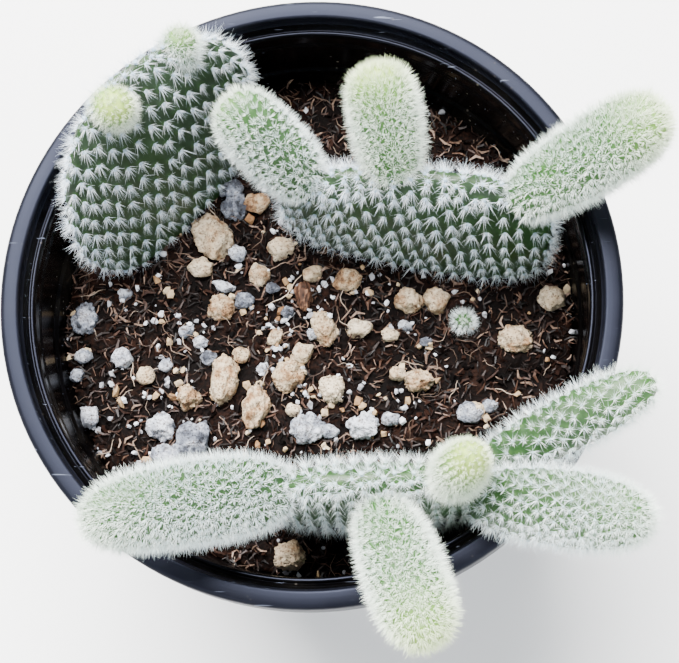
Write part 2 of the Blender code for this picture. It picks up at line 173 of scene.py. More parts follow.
def pot_plastic(name, dark, light, gloss, reflection):
    """Black moulded plastic: faint flow lines, scratches, settled dust and splashes of soil low down."""
    finish, tree, shader = new_material(name)
    point = object_point(tree)
    split = node(tree, "ShaderNodeSeparateXYZ", inputs={0: point})
    flat = node(tree, "ShaderNodeCombineXYZ", inputs={0: split.outputs[0], 1: split.outputs[1]})
    radius = node(tree, "ShaderNodeVectorMath", operation="LENGTH", inputs={0: flat.outputs[0]})
    near_soil = node(tree, "ShaderNodeMapRange", inputs={
        "Value": split.outputs[2], "From Min": 0.106, "From Max": 0.088})
    rings = node(tree, "ShaderNodeCombineXYZ", inputs={0: radius.outputs["Value"], 2: split.outputs[2]})
    flow = node(tree, "ShaderNodeTexNoise", inputs={
        "Vector": rings.outputs[0], "Scale": 700.0, "Detail": 2.0})
    mottle = node(tree, "ShaderNodeTexNoise", inputs={"Vector": point, "Scale": 75.0, "Detail": 6.0})
    scratch_run = node(tree, "ShaderNodeMapping", inputs={
        "Vector": point, "Rotation": (0.3, 0.4, 0.9), "Scale": (90.0, 1500.0, 500.0)})
    scratch = node(tree, "ShaderNodeTexNoise", inputs={
        "Vector": scratch_run.outputs[0], "Scale": 1.0, "Detail": 1.0})
    scratch_mask = node(tree, "ShaderNodeMapRange", inputs={
        "Value": scratch.outputs["Fac"], "From Min": 0.73, "From Max": 0.80})
    amount = node(tree, "ShaderNodeMapRange", inputs={
        "Value": near_soil.outputs[0], "To Min": 0.2, "To Max": 0.8})
    dust = node(tree, "ShaderNodeGroup", node_tree=settled_dust, inputs={
        "Point": point, "Speck scale": 330.0, "Amount": amount.outputs[0]})
    base = ramp(tree, mottle.outputs["Fac"], [(0.30, dark), (0.70, light)])
    scuffed = node(tree, "ShaderNodeMix", data_type="RGBA", inputs={
        0: scratch_mask.outputs[0], 6: base, 7: (0.08, 0.09, 0.12, 1.0)})
    dusted = node(tree, "ShaderNodeMix", data_type="RGBA", inputs={
        0: dust.outputs[0], 6: scuffed.outputs[2], 7: (0.24, 0.21, 0.17, 1.0)})
    tree.links.new(dusted.outputs[2], shader.inputs["Base Color"])
    uneven = node(tree, "ShaderNodeMath", operation="MULTIPLY_ADD", inputs={
        0: mottle.outputs["Fac"], 1: 0.16, 2: gloss})
    rough = node(tree, "ShaderNodeMath", operation="ADD", use_clamp=True, inputs={
        0: uneven.outputs[0], 1: dust.outputs[0]})
    tree.links.new(rough.outputs[0], shader.inputs["Roughness"])
    shader.inputs["Specular IOR Level"].default_value = reflection
    shader.inputs["Specular Tint"].default_value = (0.62, 0.69, 1.0, 1.0)
    relief = node(tree, "ShaderNodeMath", operation="MULTIPLY_ADD", inputs={
        0: scratch_mask.outputs[0], 1: -0.6, 2: flow.outputs["Fac"]})
    bump = node(tree, "ShaderNodeBump", inputs={
        "Strength": 0.25, "Distance": 0.00012, "Height": relief.outputs[0]})
    tree.links.new(bump.outputs[0], shader.inputs["Normal"])
    return finish


def rounded(corners, steps=3):
    """An outline whose corners are rounded by their own radius; each corner is (radius, height, round)."""
    outline = []
    for index, (radius, height, soft) in enumerate(corners):
        here = Vector((radius, height))
        if soft == 0.0:
            outline.append(here)
            continue
        before = Vector(corners[index - 1][:2])
        after = Vector(corners[(index + 1) % len(corners)][:2])
        start = here + (before - here).normalized() * min(soft, (before - here).length * 0.45)
        end = here + (after - here).normalized() * min(soft, (after - here).length * 0.45)
        for step in range(steps + 1):
            share = step / steps
            outline.append(start.lerp(here, share).lerp(here.lerp(end, share), share))
    return outline


def turn(outline, segments):
    """A solid turned about the pot's axis; the outline starts and ends on the axis."""
    body = bmesh.new()
    rings = []
    for radius, height in outline:
        if radius < 1e-6:
            rings.append([body.verts.new((0.0, 0.0, height * MM))] * segments)
            continue
        ring = []
        for index in range(segments):
            angle = math.tau * index / segments
            ring.append(body.verts.new((radius * math.cos(angle) * MM,
                                        radius * math.sin(angle) * MM, height * MM)))
        rings.append(ring)
    for lower, upper in zip(rings, rings[1:]):
        for index in range(segments):
            following = (index + 1) % segments
            corners = [lower[index], lower[following], upper[following], upper[index]]
            body.faces.new(list(dict.fromkeys(corners)))
    bmesh.ops.recalc_face_normals(body, faces=body.faces)
    return body


def to_mesh(body, name, smooth=True):
    """A bmesh as a mesh, shaded smooth."""
    mesh = bpy.data.meshes.new(name)
    body.to_mesh(mesh)
    body.free()
    if smooth:
        mesh.shade_smooth()
    return mesh


def pot_outline():
    """The pot's outline: base, outer wall, skirt, rim, ledge, ribbed collar, inner wall, floor."""
    rim_inner = RIM_RADIUS - RIM_BAND
    body_top = COLLAR_RADIUS - STEP_WIDTH
    skirt_bottom = POT_HEIGHT - SKIRT_DROP
    corners = [
        (0.0, 0.0, 0.0),
        (BASE_RADIUS - 2.0, 0.0, 1.0),
        (BASE_RADIUS, 2.0, 1.2),
        (body_top + WALL, STEP_HEIGHT - 2.2, 0.6),
        (COLLAR_RADIUS + WALL, STEP_HEIGHT - 1.0, 0.5),
        (COLLAR_RADIUS + WALL, LEDGE_HEIGHT - 1.7, 0.5),
        (rim_inner + WALL, LEDGE_HEIGHT - 0.7, 0.4),
        (rim_inner + WALL, POT_HEIGHT - WALL, 0.5),
        (RIM_RADIUS - WALL, POT_HEIGHT - WALL, 0.5),
        (RIM_RADIUS - WALL, skirt_bottom, 0.4),
        (RIM_RADIUS, skirt_bottom, 0.5),
        (RIM_RADIUS, POT_HEIGHT, 1.5),
        (rim_inner, POT_HEIGHT, 0.8),
        (rim_inner, LEDGE_HEIGHT + 1.6, 0.8),
        (COLLAR_RADIUS + 1.7, LEDGE_HEIGHT - 0.6, 0.4),
        (COLLAR_RADIUS + 1.2, LEDGE_HEIGHT + 0.1, 0.3),
        (COLLAR_RADIUS + 0.3, LEDGE_HEIGHT, 0.4),
        (COLLAR_RADIUS, LEDGE_HEIGHT - 1.4, 0.5),
    ]
    for height in (LEDGE_HEIGHT - 5.6, LEDGE_HEIGHT - 7.2):
        corners += [(COLLAR_RADIUS + 0.03, height + 0.5, 0.2), (COLLAR_RADIUS - 0.22, height, 0.2),
                    (COLLAR_RADIUS + 0.03, height - 0.5, 0.2)]
    corners += [
        (COLLAR_RADIUS, STEP_HEIGHT, 0.4),
        (body_top, STEP_HEIGHT - 1.0, 0.4),
        (BASE_RADIUS - WALL, FLOOR + FILLET, 1.0),
        (BASE_RADIUS - WALL - FILLET, FLOOR, 0.8),
        (0.0, FLOOR, 0.0),
    ]
    return rounded(corners)


def block(size, radial, height, angle, name):
    """A box turned about the pot's axis."""
    body = bmesh.new()
    bmesh.ops.create_cube(body, size=1.0)
    for vert in body.verts:
        vert.co = Vector(vert.co[axis] * size[axis] for axis in range(3))
    for vert in body.verts:
        x = radial + vert.co.x
        y = vert.co.y
        vert.co = Vector((x * math.cos(angle) - y * math.sin(angle),
                          x * math.sin(angle) + y * math.cos(angle), height + vert.co.z)) * MM
    return to_mesh(body, name)


def make_pot():
    """The turned shell, with drain slots cut through it."""
    # One black plastic in two copies: the rim band's lighter blue-black base colour is painted reflection, and
    # the deeper black base of the rest of the pot is painted shade.
    rim_plastic_painted_reflection = pot_plastic("rim plastic", (0.0022, 0.0024, 0.0040), (0.0046, 0.0050, 0.0080), 0.34, 0.15)
    wall_plastic_painted_shade = pot_plastic("wall plastic", (0.0005, 0.0004, 0.0004), (0.0010, 0.0008, 0.0008), 0.12, 0.11)
    shell = add_piece("nursery_pot", to_mesh(turn(pot_outline(), POT_SEGMENTS), "nursery_pot"), rim_plastic_painted_reflection)
    shell.data.materials.append(wall_plastic_painted_shade)
    for index in range(DRAIN_SLOTS):
        angle = math.tau * (index + 0.5) / DRAIN_SLOTS
        tool = bpy.data.objects.new("slot", block((9.0, 12.0, 9.0), BASE_RADIUS, 2.0, angle, "slot"))
        bpy.context.scene.collection.objects.link(tool)
        cut = shell.modifiers.new("slot", "BOOLEAN")
        cut.operation = "DIFFERENCE"
        cut.object = tool
        with bpy.context.temp_override(object=shell):
            bpy.ops.object.modifier_apply(modifier=cut.name)
        bpy.data.objects.remove(tool)
    # Faces inside the rim band take the deeper black copy, which is painted shade.
    for face in shell.data.polygons:
        face.material_index = int(math.hypot(face.center.x, face.center.y) < (RIM_RADIUS - RIM_BAND - 0.5) * MM)
    shell.data.shade_smooth()
    shell.data.set_sharp_from_angle(angle=math.radians(38.0))
    return shell


pot = make_pot()
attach(pot, "root")
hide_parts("pot")

# The filling is a moist mix of peat, shredded bark and grit, poured in loose and settled. Its top is uneven,
# a little lower at the wall, and it closes round the plants and beds the stones.

SOIL_TOP = 86.8
SOIL_RADIUS = 71.4
SOIL_STEP = 0.95
SOIL_FOOT = 54.0


def soil_height(x, y):
    """Height of the soil's top, in millimetres: broad hollows, clods and crumbs."""
    place = Vector((x, y, 0.0))
    broad = noise.noise(place * 0.055) * 1.1
    clods = noise.noise(place * 0.21 + Vector((7.0, 3.0, 1.0))) * 0.7
    crumbs = noise.fractal(place * 0.6, 0.9, 2.1, 4) * 0.7
    edge = max(0.0, math.hypot(x, y) - SOIL_RADIUS + 9.0) / 9.0
    return SOIL_TOP + broad + clods + crumbs - 1.3 * edge * edge


def soil_body():
    """A closed plug: a fine polar grid on top, plain sides and floor."""
    body = bmesh.new()
    rings = []
    count = int(SOIL_RADIUS / SOIL_STEP)
    sectors = 204
    for number in range(1, count + 1):
        radius = SOIL_RADIUS * number / count
        ring = []
        for sector in range(sectors):
            angle = math.tau * sector / sectors
            x = radius * math.cos(angle)
            y = radius * math.sin(angle)
            ring.append(body.verts.new((x * MM, y * MM, soil_height(x, y) * MM)))
        rings.append(ring)
    for radius, height in ((SOIL_RADIUS - 6.0, SOIL_TOP * 0.5), (SOIL_FOOT, FLOOR + 0.4)):
        ring = []
        for sector in range(sectors):
            angle = math.tau * sector / sectors
            ring.append(body.verts.new((radius * math.cos(angle) * MM,
                                        radius * math.sin(angle) * MM, height * MM)))
        rings.append(ring)
    crown = body.verts.new((0.0, 0.0, soil_height(0.0, 0.0) * MM))
    floor = body.verts.new((0.0, 0.0, (FLOOR + 0.4) * MM))
    for sector in range(sectors):
        following = (sector + 1) % sectors
        body.faces.new((crown, rings[0][sector], rings[0][following]))
        body.faces.new((floor, rings[-1][following], rings[-1][sector]))
        for inner, outer in zip(rings, rings[1:]):
            body.faces.new((inner[sector], outer[sector], outer[following], inner[following]))
    bmesh.ops.recalc_face_normals(body, faces=body.faces)
    return to_mesh(body, "soil_filling")


def soil_finish():
    """Dark moist peat with browner bark dust."""
    finish, tree, shader = new_material("soil")
    point = object_point(tree)
    broad = node(tree, "ShaderNodeTexNoise", inputs={"Vector": point, "Scale": 110.0, "Detail": 8.0,
                                                     "Roughness": 0.7})
    fine = node(tree, "ShaderNodeTexNoise", inputs={"Vector": point, "Scale": 1100.0, "Detail": 4.0})
    tone = node(tree, "ShaderNodeMath", operation="MULTIPLY_ADD", inputs={
        0: fine.outputs["Fac"], 1: 0.45, 2: broad.outputs["Fac"]})
    colour = ramp(tree, tone.outputs[0], [
        (0.52, (0.0004, 0.0002, 0.0002)), (0.72, (0.0022, 0.0009, 0.0006)), (0.92, (0.014, 0.0056, 0.0034))])
    tree.links.new(colour, shader.inputs["Base Color"])
    shader.inputs["Roughness"].default_value = 0.7
    shader.inputs["Specular IOR Level"].default_value = 0.05
    bump = node(tree, "ShaderNodeBump", inputs={
        "Strength": 0.9, "Distance": 0.0008, "Height": tone.outputs[0]})
    tree.links.new(bump.outputs[0], shader.inputs["Normal"])
    return finish


soil = add_piece("soil_filling", soil_body(), soil_finish())
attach(soil, "root")
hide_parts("soil")

# The loose stones are tan pumice and white perlite, bedded in the soil where they fell. Each keeps the form of
# its solid and gets the lumps, pits and broken faces of the real stone.

STONE_LEVELS = 2
BROKEN_FACES = 9


def stone_finish(name, stops, pit_shade_amount):
    """Rough porous stone: patches of two or three tones, crevices and pit holes, darkened in the crevices and
    pit holes by painted shade.
    """
    finish, tree, shader = new_material(name)
    point = object_point(tree)
    patch = node(tree, "ShaderNodeTexNoise", inputs={"Vector": point, "Scale": 260.0, "Detail": 6.0,
                                                     "Roughness": 0.65})
    pore = node(tree, "ShaderNodeTexVoronoi", inputs={"Vector": point, "Scale": 1300.0})
    hole = node(tree, "ShaderNodeMapRange", inputs={
        "Value": pore.outputs["Distance"], "From Min": 0.10, "From Max": 0.36})
    crumble = node(tree, "ShaderNodeTexNoise", inputs={"Vector": point, "Scale": 700.0, "Detail": 6.0,
                                                       "Roughness": 0.7})
    crevice = node(tree, "ShaderNodeMapRange", inputs={
        "Value": crumble.outputs["Fac"], "From Min": 0.34, "From Max": 0.50})
    tone = node(tree, "ShaderNodeAttribute", attribute_name="tone")
    shifted = node(tree, "ShaderNodeMath", operation="MULTIPLY_ADD", inputs={
        0: tone.outputs["Fac"], 1: 0.30, 2: patch.outputs["Fac"]})
    centred = node(tree, "ShaderNodeMath", operation="SUBTRACT", inputs={0: shifted.outputs[0], 1: 0.15})
    colour = ramp(tree, centred.outputs[0], stops)
    # Painted shade: the colour is darkened where the pore holes and crumbled crevices lie.
    depth = node(tree, "ShaderNodeMath", operation="MULTIPLY", inputs={
        0: hole.outputs[0], 1: crevice.outputs[0]})
    painted_pit_shade = node(tree, "ShaderNodeMix", data_type="RGBA", blend_type="MULTIPLY", inputs={
        0: pit_shade_amount, 6: colour, 7: ramp(tree, depth.outputs[0], [(0.0, (0.24, 0.18, 0.14)), (1.0, grey(1.0))])})
    tree.links.new(painted_pit_shade.outputs[2], shader.inputs["Base Color"])
    shader.inputs["Roughness"].default_value = 0.92
    relief = node(tree, "ShaderNodeMath", operation="MULTIPLY_ADD", inputs={
        0: hole.outputs[0], 1: 0.35, 2: crumble.outputs["Fac"]})
    bump = node(tree, "ShaderNodeBump", inputs={
        "Strength": 1.0, "Distance": 0.0012, "Height": relief.outputs[0]})
    tree.links.new(bump.outputs[0], shader.inputs["Normal"])
    return finish


tan_stone = stone_finish("pumice", [
    (0.26, (0.10, 0.042, 0.016)), (0.36, (0.34, 0.195, 0.095)), (0.47, (0.54, 0.405, 0.260)),
    (0.66, (0.66, 0.550, 0.400))], 0.9)
# The perlite's darker blue-grey tones are painted shade; the palest tone is the white stone's own colour.
white_stone = stone_finish("perlite", [
    (0.31, (0.05, 0.056, 0.076)), (0.45, (0.22, 0.243, 0.30)), (0.63, (0.58, 0.605, 0.67))], 0.95)


def store(mesh, name, values):
    """Write one number or one vector a point as a named attribute."""
    if isinstance(values[0], Vector):
        layer = mesh.attributes.new(name, "FLOAT_VECTOR", "POINT")
        layer.data.foreach_set("vector", [number for value in values for number in value])
    else:
        layer = mesh.attributes.new(name, "FLOAT", "POINT")
        layer.data.foreach_set("value", values)


def broken(body, draw, faces):
    """Break flat faces off a stone, as crushed rock has."""
    centre = sum((vert.co for vert in body.verts), Vector()) / len(body.verts)
    for number in range(faces):
        turned = math.tau * (number + draw.uniform(0.0, 0.8)) / faces * 2.4
        rise = draw.uniform(-0.5, 0.95)
        level = math.sqrt(1.0 - rise * rise)
        facing = Vector((math.cos(turned) * level, math.sin(turned) * level, rise))
        reach = max((vert.co - centre).dot(facing) for vert in body.verts) * draw.uniform(0.70, 0.88)
        for vert in body.verts:
            beyond = (vert.co - centre).dot(facing) - reach
            if beyond > 0.0:
                vert.co -= facing * beyond * 0.92


def roughened(body, amount, scale, seed, popped):
    """Push the skin of a stone in and out: lumps, crags and crumbs, or the popped bubbles of perlite."""
    bmesh.ops.recalc_face_normals(body, faces=body.faces)
    body.normal_update()
    shift = Vector((seed * 3.7, seed * 1.3, seed * 2.1))
    moves = []
    for vert in body.verts:
        place = vert.co / MM
        lump = noise.noise(place * scale + shift)
        crag = 0.25 - abs(noise.noise(place * scale * 2.3 + shift))
        if popped:
            crag = 0.9 * (0.45 - noise.voronoi(place * scale * 1.5 + shift)[0][0])
        crumb = noise.noise(place * scale * 5.0 + shift)
        moves.append(vert.normal * (lump * 0.6 + crag * 1.1 + crumb * 0.3) * amount * MM)
    for vert, move in zip(body.verts, moves):
        vert.co += move


def make_stone(name, seed):
    """A finer stone from the solid of that name."""
    body = bmesh.new()
    body.from_mesh(frame["nodes"][name].data)
    bmesh.ops.remove_doubles(body, verts=body.verts, dist=1e-6)
    coarse = to_mesh(body, name + "_coarse", smooth=False)
    holder = bpy.data.objects.new("stone", coarse)
    bpy.context.scene.collection.objects.link(holder)
    finer = holder.modifiers.new("finer", "SUBSURF")
    finer.levels = STONE_LEVELS
    finer.render_levels = STONE_LEVELS
    bpy.context.view_layer.update()
    mesh = bpy.data.meshes.new_from_object(holder.evaluated_get(bpy.context.evaluated_depsgraph_get()))
    bpy.data.objects.remove(holder)
    bpy.data.meshes.remove(coarse)
    body = bmesh.new()
    body.from_mesh(mesh)
    bpy.data.meshes.remove(mesh)
    centre = sum((vert.co for vert in body.verts), Vector()) / len(body.verts)
    for vert in body.verts:
        vert.co = centre + (vert.co - centre) * 1.20
    white = name.startswith("perlite")
    broken(body, random.Random(seed), 8 if white else BROKEN_FACES)
    roughened(body, 1.35 if white else 1.3, 0.46, seed, white)
    mesh = to_mesh(body, name + "_stone")
    store(mesh, "tone", [random.Random(seed).random()] * len(mesh.vertices))
    return add_piece(name + "_stone", mesh, white_stone if white else tan_stone)


stone_nodes = sorted(name for name in frame["nodes"] if name.startswith(("pumice_", "perlite_")))
for stone_number, stone_node in enumerate(stone_nodes):
    stone = make_stone(stone_node, stone_number + 1)
    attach(stone, "root")
    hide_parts(stone_node)

# Smaller grit lies between them: tan pumice and white perlite of 4 to 7 mm, each grain where the photograph
# has one. (x, y, length, breadth, turn in degrees)

TAN_GRIT = [
    (-17.8, 34.6, 6.6, 5.4, 20), (-32.9, 15.8, 6.8, 4.8, 10), (-10.3, 20.7, 7.0, 6.0, 60),
    (8.7, 11.6, 7.2, 5.8, 15), (33.5, 5.5, 7.4, 5.8, 80), (66.0, 5.6, 6.8, 6.2, 0),
    (11.8, -2.6, 6.2, 5.4, 0), (-16.6, 13.8, 6.4, 4.8, 90), (-48.2, -15.3, 4.8, 4.6, 0),
    (-4.2, -9.2, 6.8, 5.2, 20), (-1.5, 13.6, 5.4, 4.0, 20), (-12.0, -4.5, 4.6, 3.8, 50),
    (20.4, -4.4, 4.4, 3.6, 0), (22.5, -15.5, 4.2, 3.8, 0), (-21.5, -9.8, 4.8, 4.0, 0),
    (44.0, -26.4, 5.0, 4.4, 0), (-6.6, -25.5, 4.2, 3.8, 0)]
WHITE_GRIT = [
    (-25.0, 38.6, 6.0, 5.2, 0), (-22.6, 19.8, 4.8, 4.4, 0), (-26.6, 10.0, 6.4, 3.0, -20),
    (-20.7, 6.0, 5.2, 4.2, 30), (-42.3, -38.3, 7.4, 6.6, 0), (-55.1, -10.1, 5.6, 5.4, 0),
    (-64.0, -26.8, 6.8, 4.8, 100), (42.5, -26.8, 6.6, 5.4, 0), (-66.0, -9.6, 4.6, 4.0, 0),
    (-68.0, -14.6, 4.4, 3.8, 0), (-37.2, -2.6, 4.6, 3.4, 0), (-42.6, -12.4, 4.0, 3.4, 0),
    (3.6, -31.6, 4.4, 3.8, 0), (20.4, -28.4, 5.0, 3.6, 0), (-30.6, -10.4, 4.2, 3.6, 0),
    (-33.0, -5.8, 3.8, 3.2, 0), (-1.2, -3.8, 3.6, 3.0, 0), (48.0, -24.8, 4.4, 3.6, 0),
    (-12.6, 9.4, 3.6, 3.0, 0), (-8.4, 2.6, 3.8, 3.2, 0), (-55.0, 8.4, 4.2, 3.2, 0),
    (24.6, -1.8, 3.4, 3.0, 0), (30.4, -6.6, 3.2, 2.8, 0), (-15.4, -13.6, 3.6, 3.0, 0)]


def make_grit(name, grains, finish, seed):
    """All grains of one stone as one piece, each a broken pebble half sunk in the soil."""
    draw = random.Random(seed)
    meshes = []
    tones = []
    body = bmesh.new()
    for x, y, length, breadth, turned in grains:
        grain = bmesh.new()
        bmesh.ops.create_icosphere(grain, subdivisions=3, radius=0.5)
        angle = math.radians(turned)
        size = Vector((length, breadth, breadth * draw.uniform(0.75, 0.95))) * 1.2
        for vert in grain.verts:
            px, py, pz = (vert.co[axis] * size[axis] for axis in range(3))
            vert.co = Vector((x + px * math.cos(angle) - py * math.sin(angle),
                              y + px * math.sin(angle) + py * math.cos(angle),
                              soil_height(x, y) + size.z * 0.22 + pz)) * MM
        broken(grain, draw, 7)
        roughened(grain, 0.19 * breadth, 2.6 / breadth, draw.uniform(1.0, 90.0), name.startswith("perlite"))
        mesh = to_mesh(grain, "grain")
        tones += [draw.random()] * len(mesh.vertices)
        body.from_mesh(mesh)
        meshes.append(mesh)
    for mesh in meshes:
        bpy.data.meshes.remove(mesh)
    mesh = to_mesh(body, name)
    store(mesh, "tone", tones)
    return add_piece(name, mesh, finish)


for grit_name, grains, finish, slot in (("pumice_grit", TAN_GRIT, tan_stone, "pumice"),
                                        ("perlite_grit", WHITE_GRIT, white_stone, "perlite")):
    grit = make_grit(grit_name, grains, finish, 5)
    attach(grit, "root")

# Over the whole top lie the loose crumbs of the mix: peat, bark splinters, root fibres and fine perlite and
# pumice. They are scattered over the soil by one Geometry Nodes tree, each kind from a few shapes of its own.


def scatter_tree():
    """Copies of a collection's shapes, strewn over the faces of a surface where a mask lets them."""
    tree = bpy.data.node_groups.new("strewn crumbs", "GeometryNodeTree")
    face = tree.interface
    face.new_socket("Surface", in_out="INPUT", socket_type="NodeSocketGeometry")
    face.new_socket("Shapes", in_out="INPUT", socket_type="NodeSocketCollection")
    face.new_socket("Per square metre", in_out="INPUT", socket_type="NodeSocketFloat")
    face.new_socket("Mask", in_out="INPUT", socket_type="NodeSocketString")
    face.new_socket("Smallest", in_out="INPUT", socket_type="NodeSocketFloat")
    face.new_socket("Largest", in_out="INPUT", socket_type="NodeSocketFloat")
    face.new_socket("Tilt", in_out="INPUT", socket_type="NodeSocketFloat")
    face.new_socket("Lift", in_out="INPUT", socket_type="NodeSocketFloat")
    face.new_socket("Seed", in_out="INPUT", socket_type="NodeSocketInt")
    face.new_socket("Finish", in_out="INPUT", socket_type="NodeSocketMaterial")
    face.new_socket("Crumbs", in_out="OUTPUT", socket_type="NodeSocketGeometry")
    inlet = node(tree, "NodeGroupInput")
    outlet = node(tree, "NodeGroupOutput")
    mask = node(tree, "GeometryNodeInputNamedAttribute", data_type="FLOAT",
                inputs={"Name": inlet.outputs["Mask"]})
    density = node(tree, "ShaderNodeMath", operation="MULTIPLY", inputs={
        0: mask.outputs[0], 1: inlet.outputs["Per square metre"]})
    strewn = node(tree, "GeometryNodeDistributePointsOnFaces", inputs={
        "Mesh": inlet.outputs["Surface"], "Density": density.outputs[0], "Seed": inlet.outputs["Seed"]})
    shapes = node(tree, "GeometryNodeCollectionInfo", inputs={
        "Collection": inlet.outputs["Shapes"], "Separate Children": True, "Reset Children": True})
    tilt_back = node(tree, "ShaderNodeMath", operation="MULTIPLY", inputs={
        0: inlet.outputs["Tilt"], 1: -1.0})
    low = node(tree, "ShaderNodeCombineXYZ", inputs={0: tilt_back.outputs[0], 1: tilt_back.outputs[0], 2: 0.0})
    high = node(tree, "ShaderNodeCombineXYZ", inputs={0: inlet.outputs["Tilt"], 1: inlet.outputs["Tilt"],
                                                      2: math.tau})
    turned = node(tree, "FunctionNodeRandomValue", data_type="FLOAT_VECTOR", inputs={
        0: low.outputs[0], 1: high.outputs[0], "Seed": 3})
    size = node(tree, "FunctionNodeRandomValue", data_type="FLOAT", inputs={
        2: inlet.outputs["Smallest"], 3: inlet.outputs["Largest"], "Seed": 5})
    copies = node(tree, "GeometryNodeInstanceOnPoints", inputs={
        "Points": strewn.outputs["Points"], "Instance": shapes.outputs[0], "Pick Instance": True,
        "Rotation": turned.outputs[0], "Scale": size.outputs[1]})
    tone = node(tree, "FunctionNodeRandomValue", data_type="FLOAT", inputs={"Seed": 8})
    toned = node(tree, "GeometryNodeStoreNamedAttribute", data_type="FLOAT", domain="INSTANCE", inputs={
        "Geometry": copies.outputs[0], "Name": "tone", "Value": tone.outputs[1]})
    rise = node(tree, "ShaderNodeCombineXYZ", inputs={2: inlet.outputs["Lift"]})
    lifted = node(tree, "GeometryNodeTranslateInstances", inputs={
        "Instances": toned.outputs[0], "Translation": rise.outputs[0], "Local Space": False})
    real = node(tree, "GeometryNodeRealizeInstances", inputs={"Geometry": lifted.outputs[0]})
    finished = node(tree, "GeometryNodeSetMaterial", inputs={
        "Geometry": real.outputs[0], "Material": inlet.outputs["Finish"]})
    tree.links.new(finished.outputs[0], outlet.inputs["Crumbs"])
    return tree


strewn_crumbs = scatter_tree()


def run_tree(tree, base_mesh, values, name):
    """Run a Geometry Nodes tree over a mesh and keep the result as a plain mesh."""
    holder = bpy.data.objects.new(name, base_mesh)
    bpy.context.scene.collection.objects.link(holder)
    made = holder.modifiers.new("tree", "NODES")
    made.node_group = tree
    for item in tree.interface.items_tree:
        if item.item_type == "SOCKET" and item.in_out == "INPUT" and item.name in values:
            made[item.identifier] = values[item.name]
    holder.update_tag()
    bpy.context.view_layer.update()
    mesh = bpy.data.meshes.new_from_object(holder.evaluated_get(bpy.context.evaluated_depsgraph_get()))
    bpy.data.objects.remove(holder)
    return mesh


def crumb_shape(kind, seed):
    """One crumb of unit length: a clod, a rounder grain, a bent splinter of bark, or a thin curled fibre."""
    draw = random.Random(seed)
    body = bmesh.new()
    if kind in ("clod", "grain"):
        if kind == "clod":
            bmesh.ops.create_cube(body, size=0.75)
        else:
            bmesh.ops.create_icosphere(body, subdivisions=1, radius=0.5)
        for vert in body.verts:
            vert.co = Vector((vert.co.x, vert.co.y * 0.8, vert.co.z * 0.65)) * draw.uniform(0.6, 1.25)
            vert.co += Vector(draw.uniform(-0.12, 0.12) for axis in range(3))
    else:
        segments, thick = (2, draw.uniform(0.035, 0.095)) if kind == "splinter" else (6, 0.011)
        bend = draw.uniform(-0.22, 0.22) if kind == "splinter" else draw.uniform(-0.35, 0.35)
        rise = draw.uniform(0.02, 0.22)
        rings = []
        for index in range(segments + 1):
            share = index / segments
            bow = 1.0 - (2.0 * share - 1.0) ** 2
            wave = 0.05 * math.sin(share * 9.0 + seed) if kind == "fibre" else 0.0
            slim = thick * (0.55 + 0.45 * bow) * draw.uniform(0.8, 1.3)
            rings.append([body.verts.new((share - 0.5, bend * bow + wave + slim * 1.4 * math.cos(a),
                                          rise * bow + slim * math.sin(a)))
                          for a in (0.5, 2.6, 4.7)])
        for first, second in zip(rings, rings[1:]):
            for corner in range(3):
                following = (corner + 1) % 3
                body.faces.new((first[corner], first[following], second[following], second[corner]))
        body.faces.new(rings[0])
        body.faces.new(rings[-1])
    bmesh.ops.recalc_face_normals(body, faces=body.faces)
    return to_mesh(body, "crumb", smooth=False)


def crumb_finish(name, stops, roughness, glint):
    """Each crumb has a tone of its own, with a little grain."""
    finish, tree, shader = new_material(name)
    point = object_point(tree)
    grain = node(tree, "ShaderNodeTexNoise", inputs={"Vector": point, "Scale": 1400.0, "Detail": 3.0})
    tone = node(tree, "ShaderNodeAttribute", attribute_name="tone")
    mixed = node(tree, "ShaderNodeMath", operation="MULTIPLY_ADD", inputs={
        0: grain.outputs["Fac"], 1: 0.4, 2: tone.outputs["Fac"]})
    lowered = node(tree, "ShaderNodeMath", operation="SUBTRACT", inputs={0: mixed.outputs[0], 1: 0.2})
    tree.links.new(ramp(tree, lowered.outputs[0], stops), shader.inputs["Base Color"])
    shader.inputs["Roughness"].default_value = roughness
    shader.inputs["Specular IOR Level"].default_value = glint
    bump = node(tree, "ShaderNodeBump", inputs={
        "Strength": 0.5, "Distance": 0.0002, "Height": grain.outputs["Fac"]})
    tree.links.new(bump.outputs[0], shader.inputs["Normal"])
    return finish


def soil_masks(mesh):
    """How bare each point of the soil is, and how much grit lies there."""
    bare = []
    gritty = []
    spots = kdtree.KDTree(len(stone_nodes))
    reach = []
    for number, name in enumerate(stone_nodes):
        low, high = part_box(name)
        spots.insert((low + high) / 2.0, number)
        reach.append((high.x - low.x + high.y - low.y) / 4.0)
    spots.balance()
    for vert in mesh.vertices:
        top = vert.co.z > (SOIL_TOP - 6.0) * MM and vert.normal.z > 0.1
        place, number, distance = spots.find(vert.co)
        clear = 1.0 if distance > reach[number] * 0.9 else 0.0
        bare.append(clear if top else 0.0)
        x, y = vert.co.x / MM, vert.co.y / MM
        near = math.exp(-(((x + 18.0) / 48.0) ** 2 + ((y + 8.0) / 30.0) ** 2))
        cluster = max(0.0, noise.noise(Vector((x, y, 4.0)) * 0.12) + 0.35)
        gritty.append(bare[-1] * (0.15 + near) * cluster)
    store(mesh, "bare", bare)
    store(mesh, "gritty", gritty)


